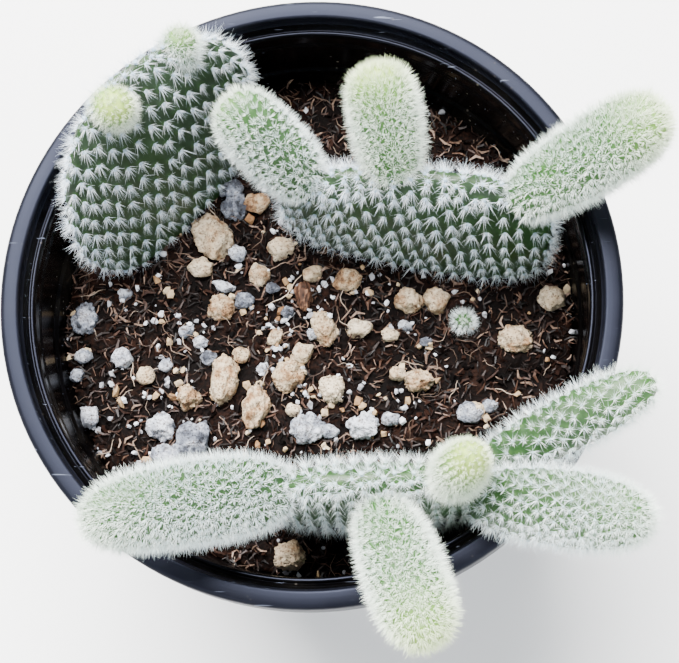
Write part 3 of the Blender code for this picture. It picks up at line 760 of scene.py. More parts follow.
soil_masks(soil.data)
CRUMBS = [
    ("peat_crumbs", "clod", "bare", 112000.0, 0.9, 2.4, 0.8, 0.2, "soil", 0.8, 0.06,
     [(0.0, (0.0004, 0.0002, 0.0002)), (0.6, (0.0026, 0.0010, 0.0007)), (1.0, (0.013, 0.0050, 0.0030))]),
    ("bark_splinters", "splinter", "bare", 325000.0, 1.1, 4.5, 0.6, 0.6, "soil", 0.5, 0.22,
     [(0.0, (0.0007, 0.0002, 0.0002)), (0.38, (0.0052, 0.0018, 0.0011)), (0.66, (0.021, 0.0080, 0.0048)),
      (0.86, (0.062, 0.031, 0.020)), (1.0, (0.20, 0.135, 0.100))]),
    ("root_fibres", "fibre", "bare", 15000.0, 3.5, 9.0, 0.3, 0.9, "soil", 0.6, 0.2,
     [(0.0, (0.022, 0.011, 0.007)), (0.6, (0.11, 0.070, 0.048)), (1.0, (0.34, 0.27, 0.21))]),
    ("perlite_crumbs", "grain", "gritty", 135000.0, 0.7, 2.6, 0.8, 0.7, "perlite", 0.9, 0.3,
     [(0.0, (0.20, 0.20, 0.22)), (0.5, (0.44, 0.45, 0.49)), (1.0, (0.66, 0.68, 0.72))]),
    ("pumice_crumbs", "grain", "gritty", 60000.0, 1.2, 3.4, 0.8, 0.8, "pumice", 0.9, 0.3,
     [(0.0, (0.15, 0.070, 0.028)), (0.5, (0.37, 0.25, 0.135)), (1.0, (0.52, 0.42, 0.28))]),
]
for seed, (crumb_name, kind, mask, amount, small, large, tilt, lift, slot, rough, glint,
           stops) in enumerate(CRUMBS):
    shapes = bpy.data.collections.new(crumb_name)
    for number in range(6):
        shape = bpy.data.objects.new("%s_%d" % (crumb_name, number), crumb_shape(kind, 40 * seed + number))
        shapes.objects.link(shape)
    finish = crumb_finish(crumb_name, stops, rough, glint)
    strewn = run_tree(strewn_crumbs, soil.data, {
        "Shapes": shapes, "Per square metre": amount, "Mask": mask, "Smallest": small * MM,
        "Largest": large * MM, "Tilt": tilt, "Lift": lift * MM, "Seed": seed + 2, "Finish": finish},
        crumb_name)
    crumbs = add_piece(crumb_name, strewn, finish)
    for shape in list(shapes.objects):
        bpy.data.objects.remove(shape)
    bpy.data.collections.remove(shapes)
    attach(crumbs, "root")

# One ridged chip of pine bark and one pale dry root lie apart from the rest, in the middle of the pot.

CHIP_PLACE = (-3.8, 6.9)
CHIP_SIZE = (4.7, 8.4, 3.2)
ROOT_PLACE = (-9.4, 8.6)
ROOT_LENGTH = 13.5
ROOT_TURN = 43.0


def make_chip():
    """A split chip, wider at one end, with ridges along its grain."""
    body = bmesh.new()
    bmesh.ops.create_uvsphere(body, u_segments=36, v_segments=18, radius=0.5)
    tones = []
    for vert in body.verts:
        across, up, along = vert.co
        turned = math.atan2(up, across)
        ridge = noise.noise(Vector((math.cos(turned) * 3.1, math.sin(turned) * 3.1, along * 3.5)))
        ragged = noise.noise(vert.co * 9.0)
        full = (1.0 + 0.5 * along) * (1.0 + 0.30 * ridge + 0.25 * ragged)
        tones.append(min(1.0, max(0.0, 0.45 + 0.8 * ridge + 0.7 * ragged)))
        vert.co = Vector((CHIP_PLACE[0] + across * full * CHIP_SIZE[0],
                          CHIP_PLACE[1] + along * (1.0 + 0.25 * ragged) * CHIP_SIZE[1],
                          soil_height(*CHIP_PLACE) + 1.1 + up * full * CHIP_SIZE[2])) * MM
    mesh = to_mesh(body, "bark_chip")
    store(mesh, "tone", tones)
    return add_piece("bark_chip", mesh, crumb_finish("bark chip", [
        (0.0, (0.010, 0.0040, 0.0022)), (0.5, (0.055, 0.024, 0.013)), (1.0, (0.20, 0.105, 0.060))], 0.7, 0.2))


def make_root():
    """A bent thread on top of the crumbs."""
    mesh = crumb_shape("fibre", 7)
    turned = math.radians(ROOT_TURN)
    for vert in mesh.vertices:
        x, y, z = vert.co.x * ROOT_LENGTH, vert.co.y * ROOT_LENGTH * 0.7, vert.co.z * ROOT_LENGTH * 0.7
        vert.co = Vector((ROOT_PLACE[0] + x * math.cos(turned) - y * math.sin(turned),
                          ROOT_PLACE[1] + x * math.sin(turned) + y * math.cos(turned),
                          SOIL_TOP + 1.5 + z)) * MM
    store(mesh, "tone", [0.8] * len(mesh.vertices))
    return add_piece("dry_root", mesh, crumb_finish("dry root", [
        (0.0, (0.11, 0.075, 0.050)), (1.0, (0.48, 0.38, 0.29))], 0.6, 0.2))


for loose in (make_chip(), make_root()):
    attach(loose, "root")

# The left plant is one wide oval pad that leans out over the back left of the rim, with two young round pads
# on its upper edge. A pad is a flattened green stem with a waxy skin; each of its spots, the areoles, carries
# a white tuft of fine barbed hair on a small mound.

TUFT_ROOM = 3.0


class Pad:
    """A pad, ear or bud: a flattened egg round a bowed axis, in millimetres, with rows of areoles."""

    def __init__(self, name, start, end, across, width, thickness, spacing, bow=(0.0, 0.0, 0.0),
                 across_end=None, fullness=2.2, widest=0.5, mound=0.5, first=0.0, youth=0.0, vigour=1.0,
                 row_gap=None, face_gap=1.0, tip_gap=1.0, tip_vigour=1.0, edge_vigour=1.0, lean=0.0,
                 crest=()):
        self.name = name
        self.start = Vector(start)
        self.end = Vector(end)
        self.bow = Vector(bow)
        self.across = Vector(across).normalized()
        self.across_end = Vector(across_end or across).normalized()
        self.width = width
        self.thickness = thickness
        self.spacing = spacing
        self.fullness = fullness
        self.widest = widest
        self.mound = mound
        self.first = first
        self.youth = youth
        self.vigour = vigour
        self.row_gap = row_gap or spacing * 0.86
        self.face_gap = face_gap
        self.tip_gap = tip_gap
        self.tip_vigour = tip_vigour
        self.edge_vigour = edge_vigour
        self.lean = lean
        self.crest = crest

    def axis(self, t):
        """A point of the axis, which bows to one side between its ends."""
        return self.start.lerp(self.end, t) + self.bow * 4.0 * t * (1.0 - t)

    def swell(self, t):
        """How far the outline has opened: 0 at both ends, 1 at the widest place."""
        if t < self.widest:
            off = (self.widest - t) / self.widest
        else:
            off = (t - self.widest) / (1.0 - self.widest)
        return max(0.0, 1.0 - min(off, 1.0) ** self.fullness) ** (1.0 / self.fullness)

    def skin(self, t, turn_share):
        """A point of the smooth skin, at t along the axis and a share of a turn round it."""
        step = 0.01
        along = (self.axis(min(t + step, 1.0)) - self.axis(max(t - step, 0.0))).normalized()
        side = self.across.lerp(self.across_end, t)
        side = (side - along * side.dot(along)).normalized()
        face = along.cross(side)
        angle = math.tau * turn_share
        reach = side * (math.cos(angle) * self.width / 2.0)
        reach += face * (math.sin(angle) * self.thickness / 2.0)
        return self.axis(t) + reach * self.swell(t)

    def outward(self, t, turn_share):
        """Unit normal of the smooth skin."""
        step = 0.004
        low = max(t - step, 0.0005)
        high = min(t + step, 0.9995)
        along = self.skin(high, turn_share) - self.skin(low, turn_share)
        round_it = self.skin(t, turn_share + step) - self.skin(t, turn_share - step)
        return round_it.cross(along).normalized()

    def even(self, curve, count, weight=None):
        """Parameters that split a curve over 0 to 1 into alike lengths, and its length; both weighted."""
        samples = 240
        places = [curve(index / samples) for index in range(samples + 1)]
        reached = [0.0]
        for index in range(samples):
            step = (places[index + 1] - places[index]).length
            if weight:
                step *= weight((index + 0.5) / samples)
            reached.append(reached[-1] + step)
        steps = []
        index = 0
        for number in range(count + 1):
            target = reached[-1] * number / count
            while index < samples - 1 and reached[index + 1] < target:
                index += 1
            span = reached[index + 1] - reached[index]
            steps.append((index + (target - reached[index]) / max(span, 1e-9)) / samples)
        return steps, reached[-1]

    def row(self, t, number, draw):
        """The areoles of one row: closer together on the narrow edges than on the broad faces."""

        def closeness(share):
            edge = abs(math.cos(math.tau * share)) ** 6
            return 1.0 / (self.face_gap + (1.0 - self.face_gap) * edge)

        gap = self.spacing * (1.0 + (self.tip_gap - 1.0) * t)
        girth = self.even(lambda share: self.skin(t, share), 2, closeness)[1]
        around = max(3, round(girth / gap))
        turned = 0.5 * (number % 2) / around
        shares = self.even(lambda share: self.skin(t, share + turned), around,
                           lambda share: closeness(share + turned))[0]
        spots = []
        for share in shares[:-1]:
            share += turned + draw.uniform(-0.08, 0.08) / around
            t_here = t - self.lean * math.cos(math.tau * share) * 4.0 * t * (1.0 - t)
            t_here += draw.uniform(-0.12, 0.12) * gap / (self.end - self.start).length
            t_here = min(0.995, max(0.005, t_here))
            spots.append((self.skin(t_here, share), self.outward(t_here, share), t_here))
        return spots

    def areoles(self):
        """(place, outward, t) of each areole: even rows, each with as many as its girth holds."""

        def closeness(t):
            return 1.0 / (1.0 + (self.tip_gap - 1.0) * t)

        length = self.even(lambda t: self.skin(t, 0.125), 2, closeness)[1]
        count = max(3, round(length / self.row_gap))
        rows = self.even(lambda t: self.skin(t, 0.125), count, closeness)[0]
        draw = random.Random(sum(map(ord, self.name)))
        spots = [(self.end, (self.end - self.start).normalized(), 1.0)]
        for number, t in enumerate(rows[1:-1]):
            spots += self.row(t, number, draw)
        for before, after in zip(rows[1:-2], rows[2:-1]):
            for share in self.crest:
                share += draw.uniform(-0.012, 0.012)
                t = (before + after) / 2.0 + draw.uniform(-0.2, 0.2) * (after - before)
                spots.append((self.skin(t, share), self.outward(t, share), t))
        return [spot for spot in spots if spot[2] >= self.first]

    def vigour_at(self, t, outward):
        """How large the tufts are, which changes towards the tip and on the narrow edges."""
        late = max(0.0, (t - 0.3) / 0.7)
        tip = 1.0 + (self.tip_vigour - 1.0) * late * late * (3.0 - 2.0 * late)
        edge = 1.0 + (self.edge_vigour - 1.0) * outward.dot(self.across) ** 2
        return self.vigour * tip * edge

    def sweep_at(self, outward):
        """Tufts on the narrow edges stand up straight; those on the faces may lie over."""
        return 1.0 - 0.85 * abs(outward.dot(self.across))


def skin_body(pad, spots, step):
    """The pad's closed skin, with a low mound under every areole, and its youth and areole masks."""
    count = max(12, round(pad.even(lambda t: pad.skin(t, 0.125), 2)[1] / step))
    rows = pad.even(lambda t: pad.skin(t, 0.125), count)[0]
    around = max(16, round(pad.even(lambda share: pad.skin(pad.widest, share), 2)[1] / step))
    turns = pad.even(lambda share: pad.skin(pad.widest, share), around)[0][:-1]
    tree = kdtree.KDTree(len(spots))
    for number, spot in enumerate(spots):
        tree.insert(spot[0], number)
    tree.balance()
    body = bmesh.new()
    closeness = []
    along = []

    def add(place, outward, t):
        distance = tree.find(place)[2]
        near = max(0.0, 1.0 - distance / (pad.spacing * 0.48))
        near = near * near * (3.0 - 2.0 * near)
        uneven = noise.noise(place * 0.12) * 0.5
        closeness.append(near)
        along.append(t)
        return body.verts.new((place + outward * (near * pad.mound + uneven)) * MM)

    root = add(pad.start, (pad.start - pad.end).normalized(), 0.0)
    grid = [[add(pad.skin(t, share), pad.outward(t, share), t) for share in turns] for t in rows[1:-1]]
    tip = add(pad.end, (pad.end - pad.start).normalized(), 1.0)
    for column in range(around):
        following = (column + 1) % around
        body.faces.new((root, grid[0][following], grid[0][column]))
        body.faces.new((tip, grid[-1][column], grid[-1][following]))
        for lower, upper in zip(grid, grid[1:]):
            body.faces.new((lower[column], lower[following], upper[following], upper[column]))
    bmesh.ops.recalc_face_normals(body, faces=body.faces)
    mesh = to_mesh(body, pad.name + "_skin")
    store(mesh, "areole", closeness)
    store(mesh, "youth", [youth_at(pad, t) for t in along])
    return mesh


def youth_at(pad, t):
    """0 on old dark skin, 1 on the palest new growth: the tip of a young pad is its newest part."""
    tip = max(0.0, (t - 0.45) / 0.55)
    return min(1.0, pad.youth * (0.55 + 0.75 * tip * tip))


def skin_finish():
    """Waxy green skin: dark on old pads, mint on half-grown ones, pale yellow-green on new tips."""
    finish, tree, shader = new_material("cactus skin")
    point = object_point(tree)
    youth = node(tree, "ShaderNodeAttribute", attribute_name="youth")
    areole = node(tree, "ShaderNodeAttribute", attribute_name="areole")
    broad = node(tree, "ShaderNodeTexNoise", inputs={"Vector": point, "Scale": 70.0, "Detail": 4.0})
    fine = node(tree, "ShaderNodeTexNoise", inputs={"Vector": point, "Scale": 2400.0, "Detail": 3.0})
    shifted = node(tree, "ShaderNodeMath", operation="MULTIPLY_ADD", inputs={
        0: broad.outputs["Fac"], 1: 0.26, 2: youth.outputs["Fac"]})
    age = node(tree, "ShaderNodeMath", operation="SUBTRACT", use_clamp=True, inputs={
        0: shifted.outputs[0], 1: 0.13})
    colour = ramp(tree, age.outputs[0], [
        (0.0, (0.0028, 0.018, 0.0011)), (0.18, (0.0055, 0.036, 0.0018)), (0.45, (0.018, 0.090, 0.0060)),
        (0.75, (0.13, 0.260, 0.032)), (1.0, (0.32, 0.44, 0.085))])
    pale = node(tree, "ShaderNodeMix", data_type="RGBA", inputs={
        0: areole.outputs["Fac"], 6: colour, 7: (0.08, 0.19, 0.035, 1.0)})
    part = node(tree, "ShaderNodeMix", data_type="RGBA", inputs={0: 0.45, 6: colour, 7: pale.outputs[2]})
    tree.links.new(part.outputs[2], shader.inputs["Base Color"])
    rough = node(tree, "ShaderNodeMapRange", inputs={
        "Value": fine.outputs["Fac"], "From Min": 0.3, "From Max": 0.7, "To Min": 0.40, "To Max": 0.56})
    tree.links.new(rough.outputs[0], shader.inputs["Roughness"])
    shader.inputs["Subsurface Weight"].default_value = 0.15
    shader.inputs["Subsurface Radius"].default_value = (0.4, 1.0, 0.2)
    shader.inputs["Subsurface Scale"].default_value = 0.0015
    bump = node(tree, "ShaderNodeBump", inputs={
        "Strength": 0.35, "Distance": 0.00012, "Height": fine.outputs["Fac"]})
    tree.links.new(bump.outputs[0], shader.inputs["Normal"])
    return finish


def hair_finish():
    """White hair: faintly blue where old and thick, straw to pale green on the newest growth."""
    finish, tree, shader = new_material("areole hair")
    youth = node(tree, "ShaderNodeAttribute", attribute_name="youth")
    tone = node(tree, "ShaderNodeAttribute", attribute_name="tone")
    old = ramp(tree, tone.outputs["Fac"], [(0.0, (0.30, 0.40, 0.52)), (0.25, (0.56, 0.67, 0.82)),
                                           (0.6, (0.76, 0.84, 0.92)), (1.0, (0.90, 0.93, 0.95))])
    new = ramp(tree, tone.outputs["Fac"], [(0.0, (0.50, 0.64, 0.24)), (0.25, (0.62, 0.75, 0.36)),
                                           (1.0, (0.88, 0.92, 0.70))])
    mixed = node(tree, "ShaderNodeMix", data_type="RGBA", inputs={
        0: youth.outputs["Fac"], 6: old, 7: new})
    tree.links.new(mixed.outputs[2], shader.inputs["Base Color"])
    shader.inputs["Roughness"].default_value = 0.55
    shader.inputs["Sheen Weight"].default_value = 0.3
    shader.inputs["Sheen Roughness"].default_value = 0.4
    return finish


pad_skin = skin_finish()
areole_hair = hair_finish()


def tuft_tree():
    """A tuft on every point: short dense hair round a felt core, and longer hair swept one way."""
    tree = bpy.data.node_groups.new("areole tufts", "GeometryNodeTree")
    face = tree.interface
    face.new_socket("Areoles", in_out="INPUT", socket_type="NodeSocketGeometry")
    face.new_socket("Short hairs", in_out="INPUT", socket_type="NodeSocketInt")
    face.new_socket("Short length", in_out="INPUT", socket_type="NodeSocketFloat")
    face.new_socket("Long hairs", in_out="INPUT", socket_type="NodeSocketInt")
    face.new_socket("Long length", in_out="INPUT", socket_type="NodeSocketFloat")
    face.new_socket("Short thickness", in_out="INPUT", socket_type="NodeSocketFloat")
    face.new_socket("Long thickness", in_out="INPUT", socket_type="NodeSocketFloat")
    face.new_socket("Spread", in_out="INPUT", socket_type="NodeSocketFloat")
    face.new_socket("Sweep", in_out="INPUT", socket_type="NodeSocketFloat")
    face.new_socket("Stray", in_out="INPUT", socket_type="NodeSocketFloat")
    face.new_socket("Root scatter", in_out="INPUT", socket_type="NodeSocketFloat")
    face.new_socket("Core radius", in_out="INPUT", socket_type="NodeSocketFloat")
    face.new_socket("Core sides", in_out="INPUT", socket_type="NodeSocketInt")
    face.new_socket("Seed", in_out="INPUT", socket_type="NodeSocketInt")
    face.new_socket("Finish", in_out="INPUT", socket_type="NodeSocketMaterial")
    face.new_socket("Tufts", in_out="OUTPUT", socket_type="NodeSocketGeometry")
    inlet = node(tree, "NodeGroupInput")
    outlet = node(tree, "NodeGroupOutput")
    points = node(tree, "GeometryNodeMeshToPoints", inputs={"Mesh": inlet.outputs["Areoles"]})
    outward = node(tree, "GeometryNodeInputNamedAttribute", data_type="FLOAT_VECTOR", inputs={"Name": "outward"})
    swept = node(tree, "GeometryNodeInputNamedAttribute", data_type="FLOAT_VECTOR", inputs={"Name": "swept"})
    vigour = node(tree, "GeometryNodeInputNamedAttribute", data_type="FLOAT", inputs={"Name": "vigour"})
    hair = node(tree, "GeometryNodeMeshCone", inputs={
        "Vertices": 3, "Side Segments": 1, "Radius Top": 0.0, "Radius Bottom": 1.0, "Depth": 1.0})
    joined = node(tree, "GeometryNodeJoinGeometry")
    for number, (count, length, thickness, splay, pull) in enumerate((
            ("Short hairs", "Short length", "Short thickness", 1.15, 0.35),
            ("Long hairs", "Long length", "Long thickness", 0.9, 1.0))):
        many = node(tree, "GeometryNodeDuplicateElements", domain="POINT", inputs={
            "Geometry": points.outputs[0], "Amount": inlet.outputs[count]})
        seed = node(tree, "ShaderNodeMath", operation="ADD", inputs={
            0: inlet.outputs["Seed"], 1: 11.0 * number})
        scattered = node(tree, "FunctionNodeRandomValue", data_type="FLOAT_VECTOR", inputs={
            0: (-1.0, -1.0, -1.0), 1: (1.0, 1.0, 1.0), "Seed": seed.outputs[0]})
        depth = node(tree, "ShaderNodeVectorMath", operation="DOT_PRODUCT", inputs={
            0: scattered.outputs[0], 1: outward.outputs[0]})
        sunk = node(tree, "ShaderNodeVectorMath", operation="SCALE", inputs={
            0: outward.outputs[0], "Scale": depth.outputs["Value"]})
        level = node(tree, "ShaderNodeVectorMath", operation="SUBTRACT", inputs={
            0: scattered.outputs[0], 1: sunk.outputs[0]})
        offset = node(tree, "ShaderNodeVectorMath", operation="SCALE", inputs={
            0: level.outputs[0], "Scale": inlet.outputs["Root scatter"]})
        sized = node(tree, "ShaderNodeVectorMath", operation="SCALE", inputs={
            0: offset.outputs[0], "Scale": vigour.outputs[0]})
        placed = node(tree, "GeometryNodeSetPosition", inputs={
            "Geometry": many.outputs[0], "Offset": sized.outputs[0]})
        spread = node(tree, "ShaderNodeMath", operation="MULTIPLY", inputs={
            0: inlet.outputs["Spread"], 1: splay})
        splayed = node(tree, "ShaderNodeVectorMath", operation="SCALE", inputs={
            0: level.outputs[0], "Scale": spread.outputs[0]})
        sweep = node(tree, "ShaderNodeMath", operation="MULTIPLY", inputs={0: inlet.outputs["Sweep"], 1: pull})
        pulled = node(tree, "ShaderNodeVectorMath", operation="SCALE", inputs={
            0: swept.outputs[0], "Scale": sweep.outputs[0]})
        lean = node(tree, "ShaderNodeVectorMath", operation="ADD", inputs={
            0: splayed.outputs[0], 1: pulled.outputs[0]})
        wild = node(tree, "FunctionNodeRandomValue", data_type="FLOAT_VECTOR", inputs={
            0: (-1.0, -1.0, -1.0), 1: (1.0, 1.0, 1.0), "Seed": 51 + number})
        stray = node(tree, "ShaderNodeVectorMath", operation="SCALE", inputs={
            0: wild.outputs[0], "Scale": inlet.outputs["Stray"]})
        leaning = node(tree, "ShaderNodeVectorMath", operation="ADD", inputs={
            0: lean.outputs[0], 1: stray.outputs[0]})
        aim = node(tree, "ShaderNodeVectorMath", operation="ADD", inputs={
            0: leaning.outputs[0], 1: outward.outputs[0]})
        turned = node(tree, "FunctionNodeAlignRotationToVector", axis="Z", inputs={"Vector": aim.outputs[0]})
        reach = node(tree, "FunctionNodeRandomValue", data_type="FLOAT", inputs={
            2: 0.55, 3: 1.12, "Seed": 71 + number})
        tall = node(tree, "ShaderNodeMath", operation="MULTIPLY", inputs={
            0: reach.outputs[1], 1: inlet.outputs[length]})
        taller = node(tree, "ShaderNodeMath", operation="MULTIPLY", inputs={
            0: tall.outputs[0], 1: vigour.outputs[0]})
        scale = node(tree, "ShaderNodeCombineXYZ", inputs={
            0: inlet.outputs[thickness], 1: inlet.outputs[thickness], 2: taller.outputs[0]})
        grown = node(tree, "GeometryNodeInstanceOnPoints", inputs={
            "Points": placed.outputs[0], "Instance": hair.outputs["Mesh"],
            "Rotation": turned.outputs[0], "Scale": scale.outputs[0]})
        tone = node(tree, "FunctionNodeRandomValue", data_type="FLOAT", inputs={
            2: 0.25, 3: 1.0, "Seed": 91 + number})
        toned = node(tree, "GeometryNodeStoreNamedAttribute", data_type="FLOAT", domain="INSTANCE", inputs={
            "Geometry": grown.outputs[0], "Name": "tone", "Value": tone.outputs[1]})
        tree.links.new(toned.outputs[0], joined.inputs[0])
    rings = node(tree, "ShaderNodeMath", operation="MULTIPLY", inputs={
        0: inlet.outputs["Core sides"], 1: 0.5})
    felt = node(tree, "GeometryNodeMeshUVSphere", inputs={
        "Segments": inlet.outputs["Core sides"], "Rings": rings.outputs[0], "Radius": 1.0})
    core = node(tree, "ShaderNodeMath", operation="MULTIPLY", inputs={
        0: inlet.outputs["Core radius"], 1: vigour.outputs[0]})
    upright = node(tree, "FunctionNodeAlignRotationToVector", axis="Z", inputs={"Vector": outward.outputs[0]})
    cores = node(tree, "GeometryNodeInstanceOnPoints", inputs={
        "Points": points.outputs[0], "Instance": felt.outputs["Mesh"],
        "Rotation": upright.outputs[0], "Scale": core.outputs[0]})
    core_toned = node(tree, "GeometryNodeStoreNamedAttribute", data_type="FLOAT", domain="INSTANCE", inputs={
        "Geometry": cores.outputs[0], "Name": "tone", "Value": 0.0})
    tree.links.new(core_toned.outputs[0], joined.inputs[0])
    real = node(tree, "GeometryNodeRealizeInstances", inputs={"Geometry": joined.outputs[0]})
    finished = node(tree, "GeometryNodeSetMaterial", inputs={
        "Geometry": real.outputs[0], "Material": inlet.outputs["Finish"]})
    tree.links.new(finished.outputs[0], outlet.inputs["Tufts"])
    return tree


areole_tufts = tuft_tree()


def grow_tufts(pad, spots, hair):
    """The pad's tufts as one plain mesh; none stands under the soil."""
    shown = [spot for spot in spots if spot[0].z > SOIL_TOP - 0.5]
    points = bpy.data.meshes.new(pad.name + "_areoles")
    points.from_pydata([(place + outward * pad.mound * 0.8) * MM for place, outward, t in shown], [], [])
    draw = random.Random(len(shown))
    along = Vector(hair.get("sweep_to", pad.end - pad.start)).normalized()
    store(points, "outward", [outward for place, outward, t in shown])
    store(points, "swept", [(along - outward * along.dot(outward)) * pad.sweep_at(outward)
                            for place, outward, t in shown])
    store(points, "vigour", [pad.vigour_at(t, outward) * draw.uniform(0.82, 1.15)
                             for place, outward, t in shown])
    store(points, "youth", [youth_at(pad, t) for place, outward, t in shown])
    mesh = run_tree(areole_tufts, points, {
        "Short hairs": hair["short"], "Short length": hair["short_length"] * MM,
        "Long hairs": hair["long"], "Long length": hair["long_length"] * MM,
        "Short thickness": hair["thick"] * MM, "Long thickness": hair["long_thick"] * MM,
        "Spread": hair["spread"], "Sweep": hair["sweep"], "Stray": hair["stray"],
        "Root scatter": hair["scatter"] * MM,
        "Core radius": hair["core"] * MM,
        "Core sides": hair["sides"], "Seed": len(shown), "Finish": areole_hair}, pad.name + "_tufts")
    bpy.data.meshes.remove(points)
    return mesh


def add_pad(pad, hair, step):
    """A pad's skin and its tufts, in place of the solid of the same name."""
    spots = pad.areoles()
    skin = add_piece(pad.name + "_skin", skin_body(pad, spots, step), pad_skin)
    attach(skin, "root")
    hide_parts(pad.name)
    tufts = add_piece(pad.name + "_tufts", grow_tufts(pad, spots, hair), areole_hair)
    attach(tufts, "root")


PAD_HAIR = {"short": 22, "short_length": 1.5, "thick": 0.046, "long": 18, "long_length": 3.9,
            "long_thick": 0.043, "spread": 0.9, "stray": 0.4, "sweep": 0.62, "scatter": 0.6,
            "core": 0.62, "sides": 6}
EAR_HAIR = {"short": 12, "short_length": 1.8, "thick": 0.082, "long": 20, "long_length": 3.0,
            "long_thick": 0.066, "spread": 0.6, "stray": 0.28, "sweep": 0.8, "scatter": 0.85,
            "core": 0.45, "sides": 4}
BUD_HAIR = {"short": 11, "short_length": 1.3, "thick": 0.046, "long": 18, "long_length": 2.4,
            "long_thick": 0.041, "spread": 0.65, "stray": 0.25, "sweep": 0.3, "scatter": 0.6,
            "core": 0.3, "sides": 4}
PAD_STEP = 1.3
EAR_STEP = 1.0
left_hair = dict(PAD_HAIR, sweep_to=(-0.127, -0.53, -0.84))
add_pad(Pad("left_pad", (-64.0, 23.0, 123.0), (-18.5, 59.5, 98.0), (0.127, 0.53, 0.84), 74.0, 12.0, 3.0,
            fullness=2.3, youth=0.05, row_gap=4.4, face_gap=2.05, edge_vigour=1.25,
            crest=(-0.03, 0.03)), left_hair, PAD_STEP)
add_pad(Pad("left_bud_tip", (-50.5, 45.0, 133.5), (-47.5, 43.5, 150.0), (1.0, 0.0, 0.0), 11.0, 10.0, 2.0,
            fullness=2.4, mound=0.25, first=0.1, youth=0.9, tip_gap=0.85, tip_vigour=0.7), BUD_HAIR,
        EAR_STEP)
add_pad(Pad("left_bud_back", (-33.5, 60.0, 131.0), (-32.0, 64.5, 142.5), (1.0, 0.3, 0.0), 9.5, 8.5, 1.9,
            fullness=2.4, mound=0.25, first=0.1, youth=0.5, vigour=1.2), BUD_HAIR, EAR_STEP)

# The middle plant is a wide pad behind the pot's middle with three finger-like ears on its upper edge. The
# ears are half grown, so their hair stands closer and their tips are pale.

middle_hair = dict(PAD_HAIR, sweep_to=(0.0, -0.2, -1.0), sweep=0.5)
add_pad(Pad("middle_pad", (-8.5, 29.5, 103.0), (65.0, 18.0, 103.0), (0.0, 0.08, 1.0), 54.0, 14.0, 2.9,
            across_end=(0.0, 0.32, 0.95), fullness=2.6, youth=0.08, row_gap=4.3, face_gap=2.1,
            edge_vigour=1.15, lean=0.09, crest=(-0.09, -0.035, 0.035, 0.09)), middle_hair,
        PAD_STEP)
add_pad(Pad("middle_ear_left", (1.0, 28.0, 118.0), (-20.5, 48.0, 136.0), (0.5, 0.4, 0.5), 18.0, 13.0, 2.4,
            bow=(0.0, 0.0, 2.5), fullness=2.5, widest=0.55, mound=0.5, first=0.06, youth=0.42,
            vigour=0.85), EAR_HAIR, EAR_STEP)
add_pad(Pad("middle_ear_centre", (23.5, 27.0, 124.5), (18.5, 53.5, 144.0), (1.0, 0.15, 0.0), 16.5, 12.5,
            2.5, bow=(0.0, 2.0, 2.0), fullness=2.5, widest=0.55, mound=0.5, first=0.06, youth=0.8,
            tip_gap=0.8, tip_vigour=0.85), EAR_HAIR, EAR_STEP)
add_pad(Pad("middle_ear_right", (53.0, 23.0, 120.0), (90.0, 37.5, 151.0), (-0.3, 0.9, 0.0), 18.5, 14.5, 2.8,
            bow=(1.0, 0.0, 1.5), fullness=2.5, widest=0.6, mound=0.55, first=0.06, youth=0.62,
            tip_gap=0.8), EAR_HAIR, EAR_STEP)

# The front plant is a wide pad seen edge-on from above. Four ears stand out from it over the rim, and one round
# young pad points up at the viewer.

star_hair = dict(EAR_HAIR, scatter=0.5, spread=0.95, stray=0.3, thick=0.058, sweep=0.5, long_length=3.3, long_thick=0.046)
front_hair = dict(PAD_HAIR, sweep_to=(0.0, 0.0, -1.0), sweep=0.3, spread=1.0)
add_pad(Pad("front_pad", (-13.0, -52.5, 106.0), (45.5, -51.5, 106.0), (0.0, 0.03, 1.0), 58.0, 15.0, 3.1,
            fullness=2.6, youth=0.33, row_gap=4.2, face_gap=1.8, edge_vigour=1.25,
            crest=(-0.03, 0.03, 0.066)), front_hair, PAD_STEP)
add_pad(Pad("front_ear_left", (-3.5, -52.5, 122.5), (-51.0, -63.0, 152.0), (0.1, 0.9, 0.2), 19.5, 14.0, 2.8,
            bow=(0.0, 0.5, 1.5), fullness=2.5, widest=0.45, mound=0.55, first=0.05, youth=0.36,
            tip_gap=0.75), EAR_HAIR, EAR_STEP)
add_pad(Pad("front_ear_down", (18.0, -55.0, 127.0), (31.5, -91.5, 148.0), (1.0, 0.35, 0.0), 17.5, 13.5, 2.5,
            bow=(0.0, -1.0, 2.0), fullness=2.5, widest=0.58, mound=0.55, first=0.05, youth=0.72,
            tip_gap=0.85), EAR_HAIR, EAR_STEP)
add_pad(Pad("front_bud", (36.0, -52.0, 130.0), (42.0, -48.0, 157.0), (1.0, 0.0, 0.0), 12.2, 11.6, 2.2,
            fullness=2.2, widest=0.4, mound=0.25, first=0.08, youth=0.95, vigour=1.15, tip_gap=0.75,
            tip_vigour=0.5),
        BUD_HAIR, EAR_STEP)
add_pad(Pad("front_ear_right_front", (41.0, -54.5, 123.5), (83.0, -63.5, 151.0), (0.1, 0.9, 0.3), 18.0, 13.0,
            3.6, bow=(1.0, 0.0, 1.0), fullness=2.5, widest=0.5, mound=0.4, first=0.05, youth=0.3,
            vigour=1.1, tip_gap=0.55), star_hair, EAR_STEP)
add_pad(Pad("front_ear_right_back", (41.0, -49.5, 117.5), (86.5, -28.5, 142.0), (-0.4, 0.8, 0.3), 13.5, 11.0,
            3.3, bow=(1.0, 1.0, 1.0), fullness=2.5, widest=0.5, mound=0.4, first=0.05, youth=0.3,
            vigour=1.1, row_gap=3.5, face_gap=1.3, tip_gap=0.65), star_hair, EAR_STEP)

# A seedling no bigger than a pea has sprouted in the soil between the plants.

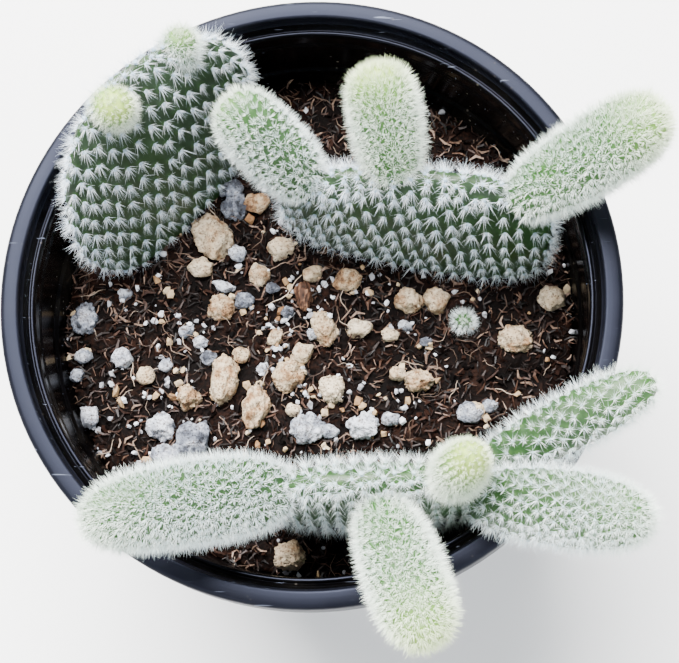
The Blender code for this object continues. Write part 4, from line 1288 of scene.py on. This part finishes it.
seedling_hair = dict(BUD_HAIR, short_length=1.2, long_length=2.8, thick=0.035, long_thick=0.03, scatter=0.4)
add_pad(Pad("seedling", (41.0, -0.8, SOIL_TOP - 2.5), (41.2, -1.0, SOIL_TOP + 4.2), (1.0, 0.0, 0.0), 5.4,
            5.0, 1.3, mound=0.15, youth=0.3, vigour=0.8), seedling_hair, 0.5)

# A plain pale floor, soft daylight from a wide source overhead and the photograph's viewpoint, close above the
# pot and a little in front of it.

FLOOR_SIZE = 3.0


def make_floor():
    """A flat pale sheet under the pot."""
    body = bmesh.new()
    bmesh.ops.create_grid(body, x_segments=1, y_segments=1, size=FLOOR_SIZE)
    mesh = to_mesh(body, "floor", smooth=False)
    finish, tree, shader = new_material("pale floor")
    soft = node(tree, "ShaderNodeTexNoise", inputs={"Vector": object_point(tree), "Scale": 6.0})
    tree.links.new(ramp(tree, soft.outputs["Fac"], [(0.0, grey(0.86)), (1.0, grey(0.89))]),
                   shader.inputs["Base Color"])
    shader.inputs["Roughness"].default_value = 0.9
    return add_piece("floor", mesh, finish)


make_floor()


def add_light(name, place, target, size, power, colour):
    """A square soft light that faces a point."""
    lamp = bpy.data.lights.new(name, "AREA")
    lamp.size = size
    lamp.energy = power
    lamp.color = colour
    thing = bpy.data.objects.new(name, lamp)
    thing.location = place
    thing.rotation_mode = "QUATERNION"
    thing.rotation_quaternion = (Vector(target) - Vector(place)).to_track_quat("-Z", "Y")
    bpy.context.scene.collection.objects.link(thing)


add_light("overhead", (-0.30, 0.74, 1.22), (0.0, 0.0, 0.1), 1.15, 188.0, (1.0, 0.99, 0.975))
add_light("fill", (0.9, -0.7, 1.0), (0.0, 0.0, 0.1), 1.2, 20.0, (0.90, 0.95, 1.0))
add_light("front", (-0.5, -0.95, 1.0), (0.0, 0.0, 0.1), 0.7, 9.0, (0.94, 0.97, 1.0))
world = bpy.data.worlds.new("daylight")
world.use_nodes = True
world.node_tree.nodes["Background"].inputs["Color"].default_value = (0.93, 0.96, 1.0, 1.0)
world.node_tree.nodes["Background"].inputs["Strength"].default_value = 0.52
bpy.context.scene.world = world

CAMERA_PLACE = Vector((0.0341, -0.1060, 0.5562))
CAMERA_LEAN = (math.radians(3.4), math.radians(-12.36))
FOCAL_PIXELS = 1709.0
PHOTO_WIDTH = 679.0
camera_data = bpy.data.cameras.new("camera")
camera_data.sensor_width = 36.0
camera_data.lens = FOCAL_PIXELS * camera_data.sensor_width / PHOTO_WIDTH
camera_data.clip_start = 0.01
camera = bpy.data.objects.new("camera", camera_data)
bpy.context.scene.collection.objects.link(camera)
looking_back = Vector((math.tan(CAMERA_LEAN[0]), math.tan(CAMERA_LEAN[1]), 1.0)).normalized()
rightward = Vector((0.0, 1.0, 0.0)).cross(looking_back).normalized()
upward = looking_back.cross(rightward)
turned = Matrix((rightward, upward, looking_back)).transposed().to_4x4()
camera.matrix_world = Matrix.Translation(CAMERA_PLACE) @ turned
bpy.context.scene.camera = camera
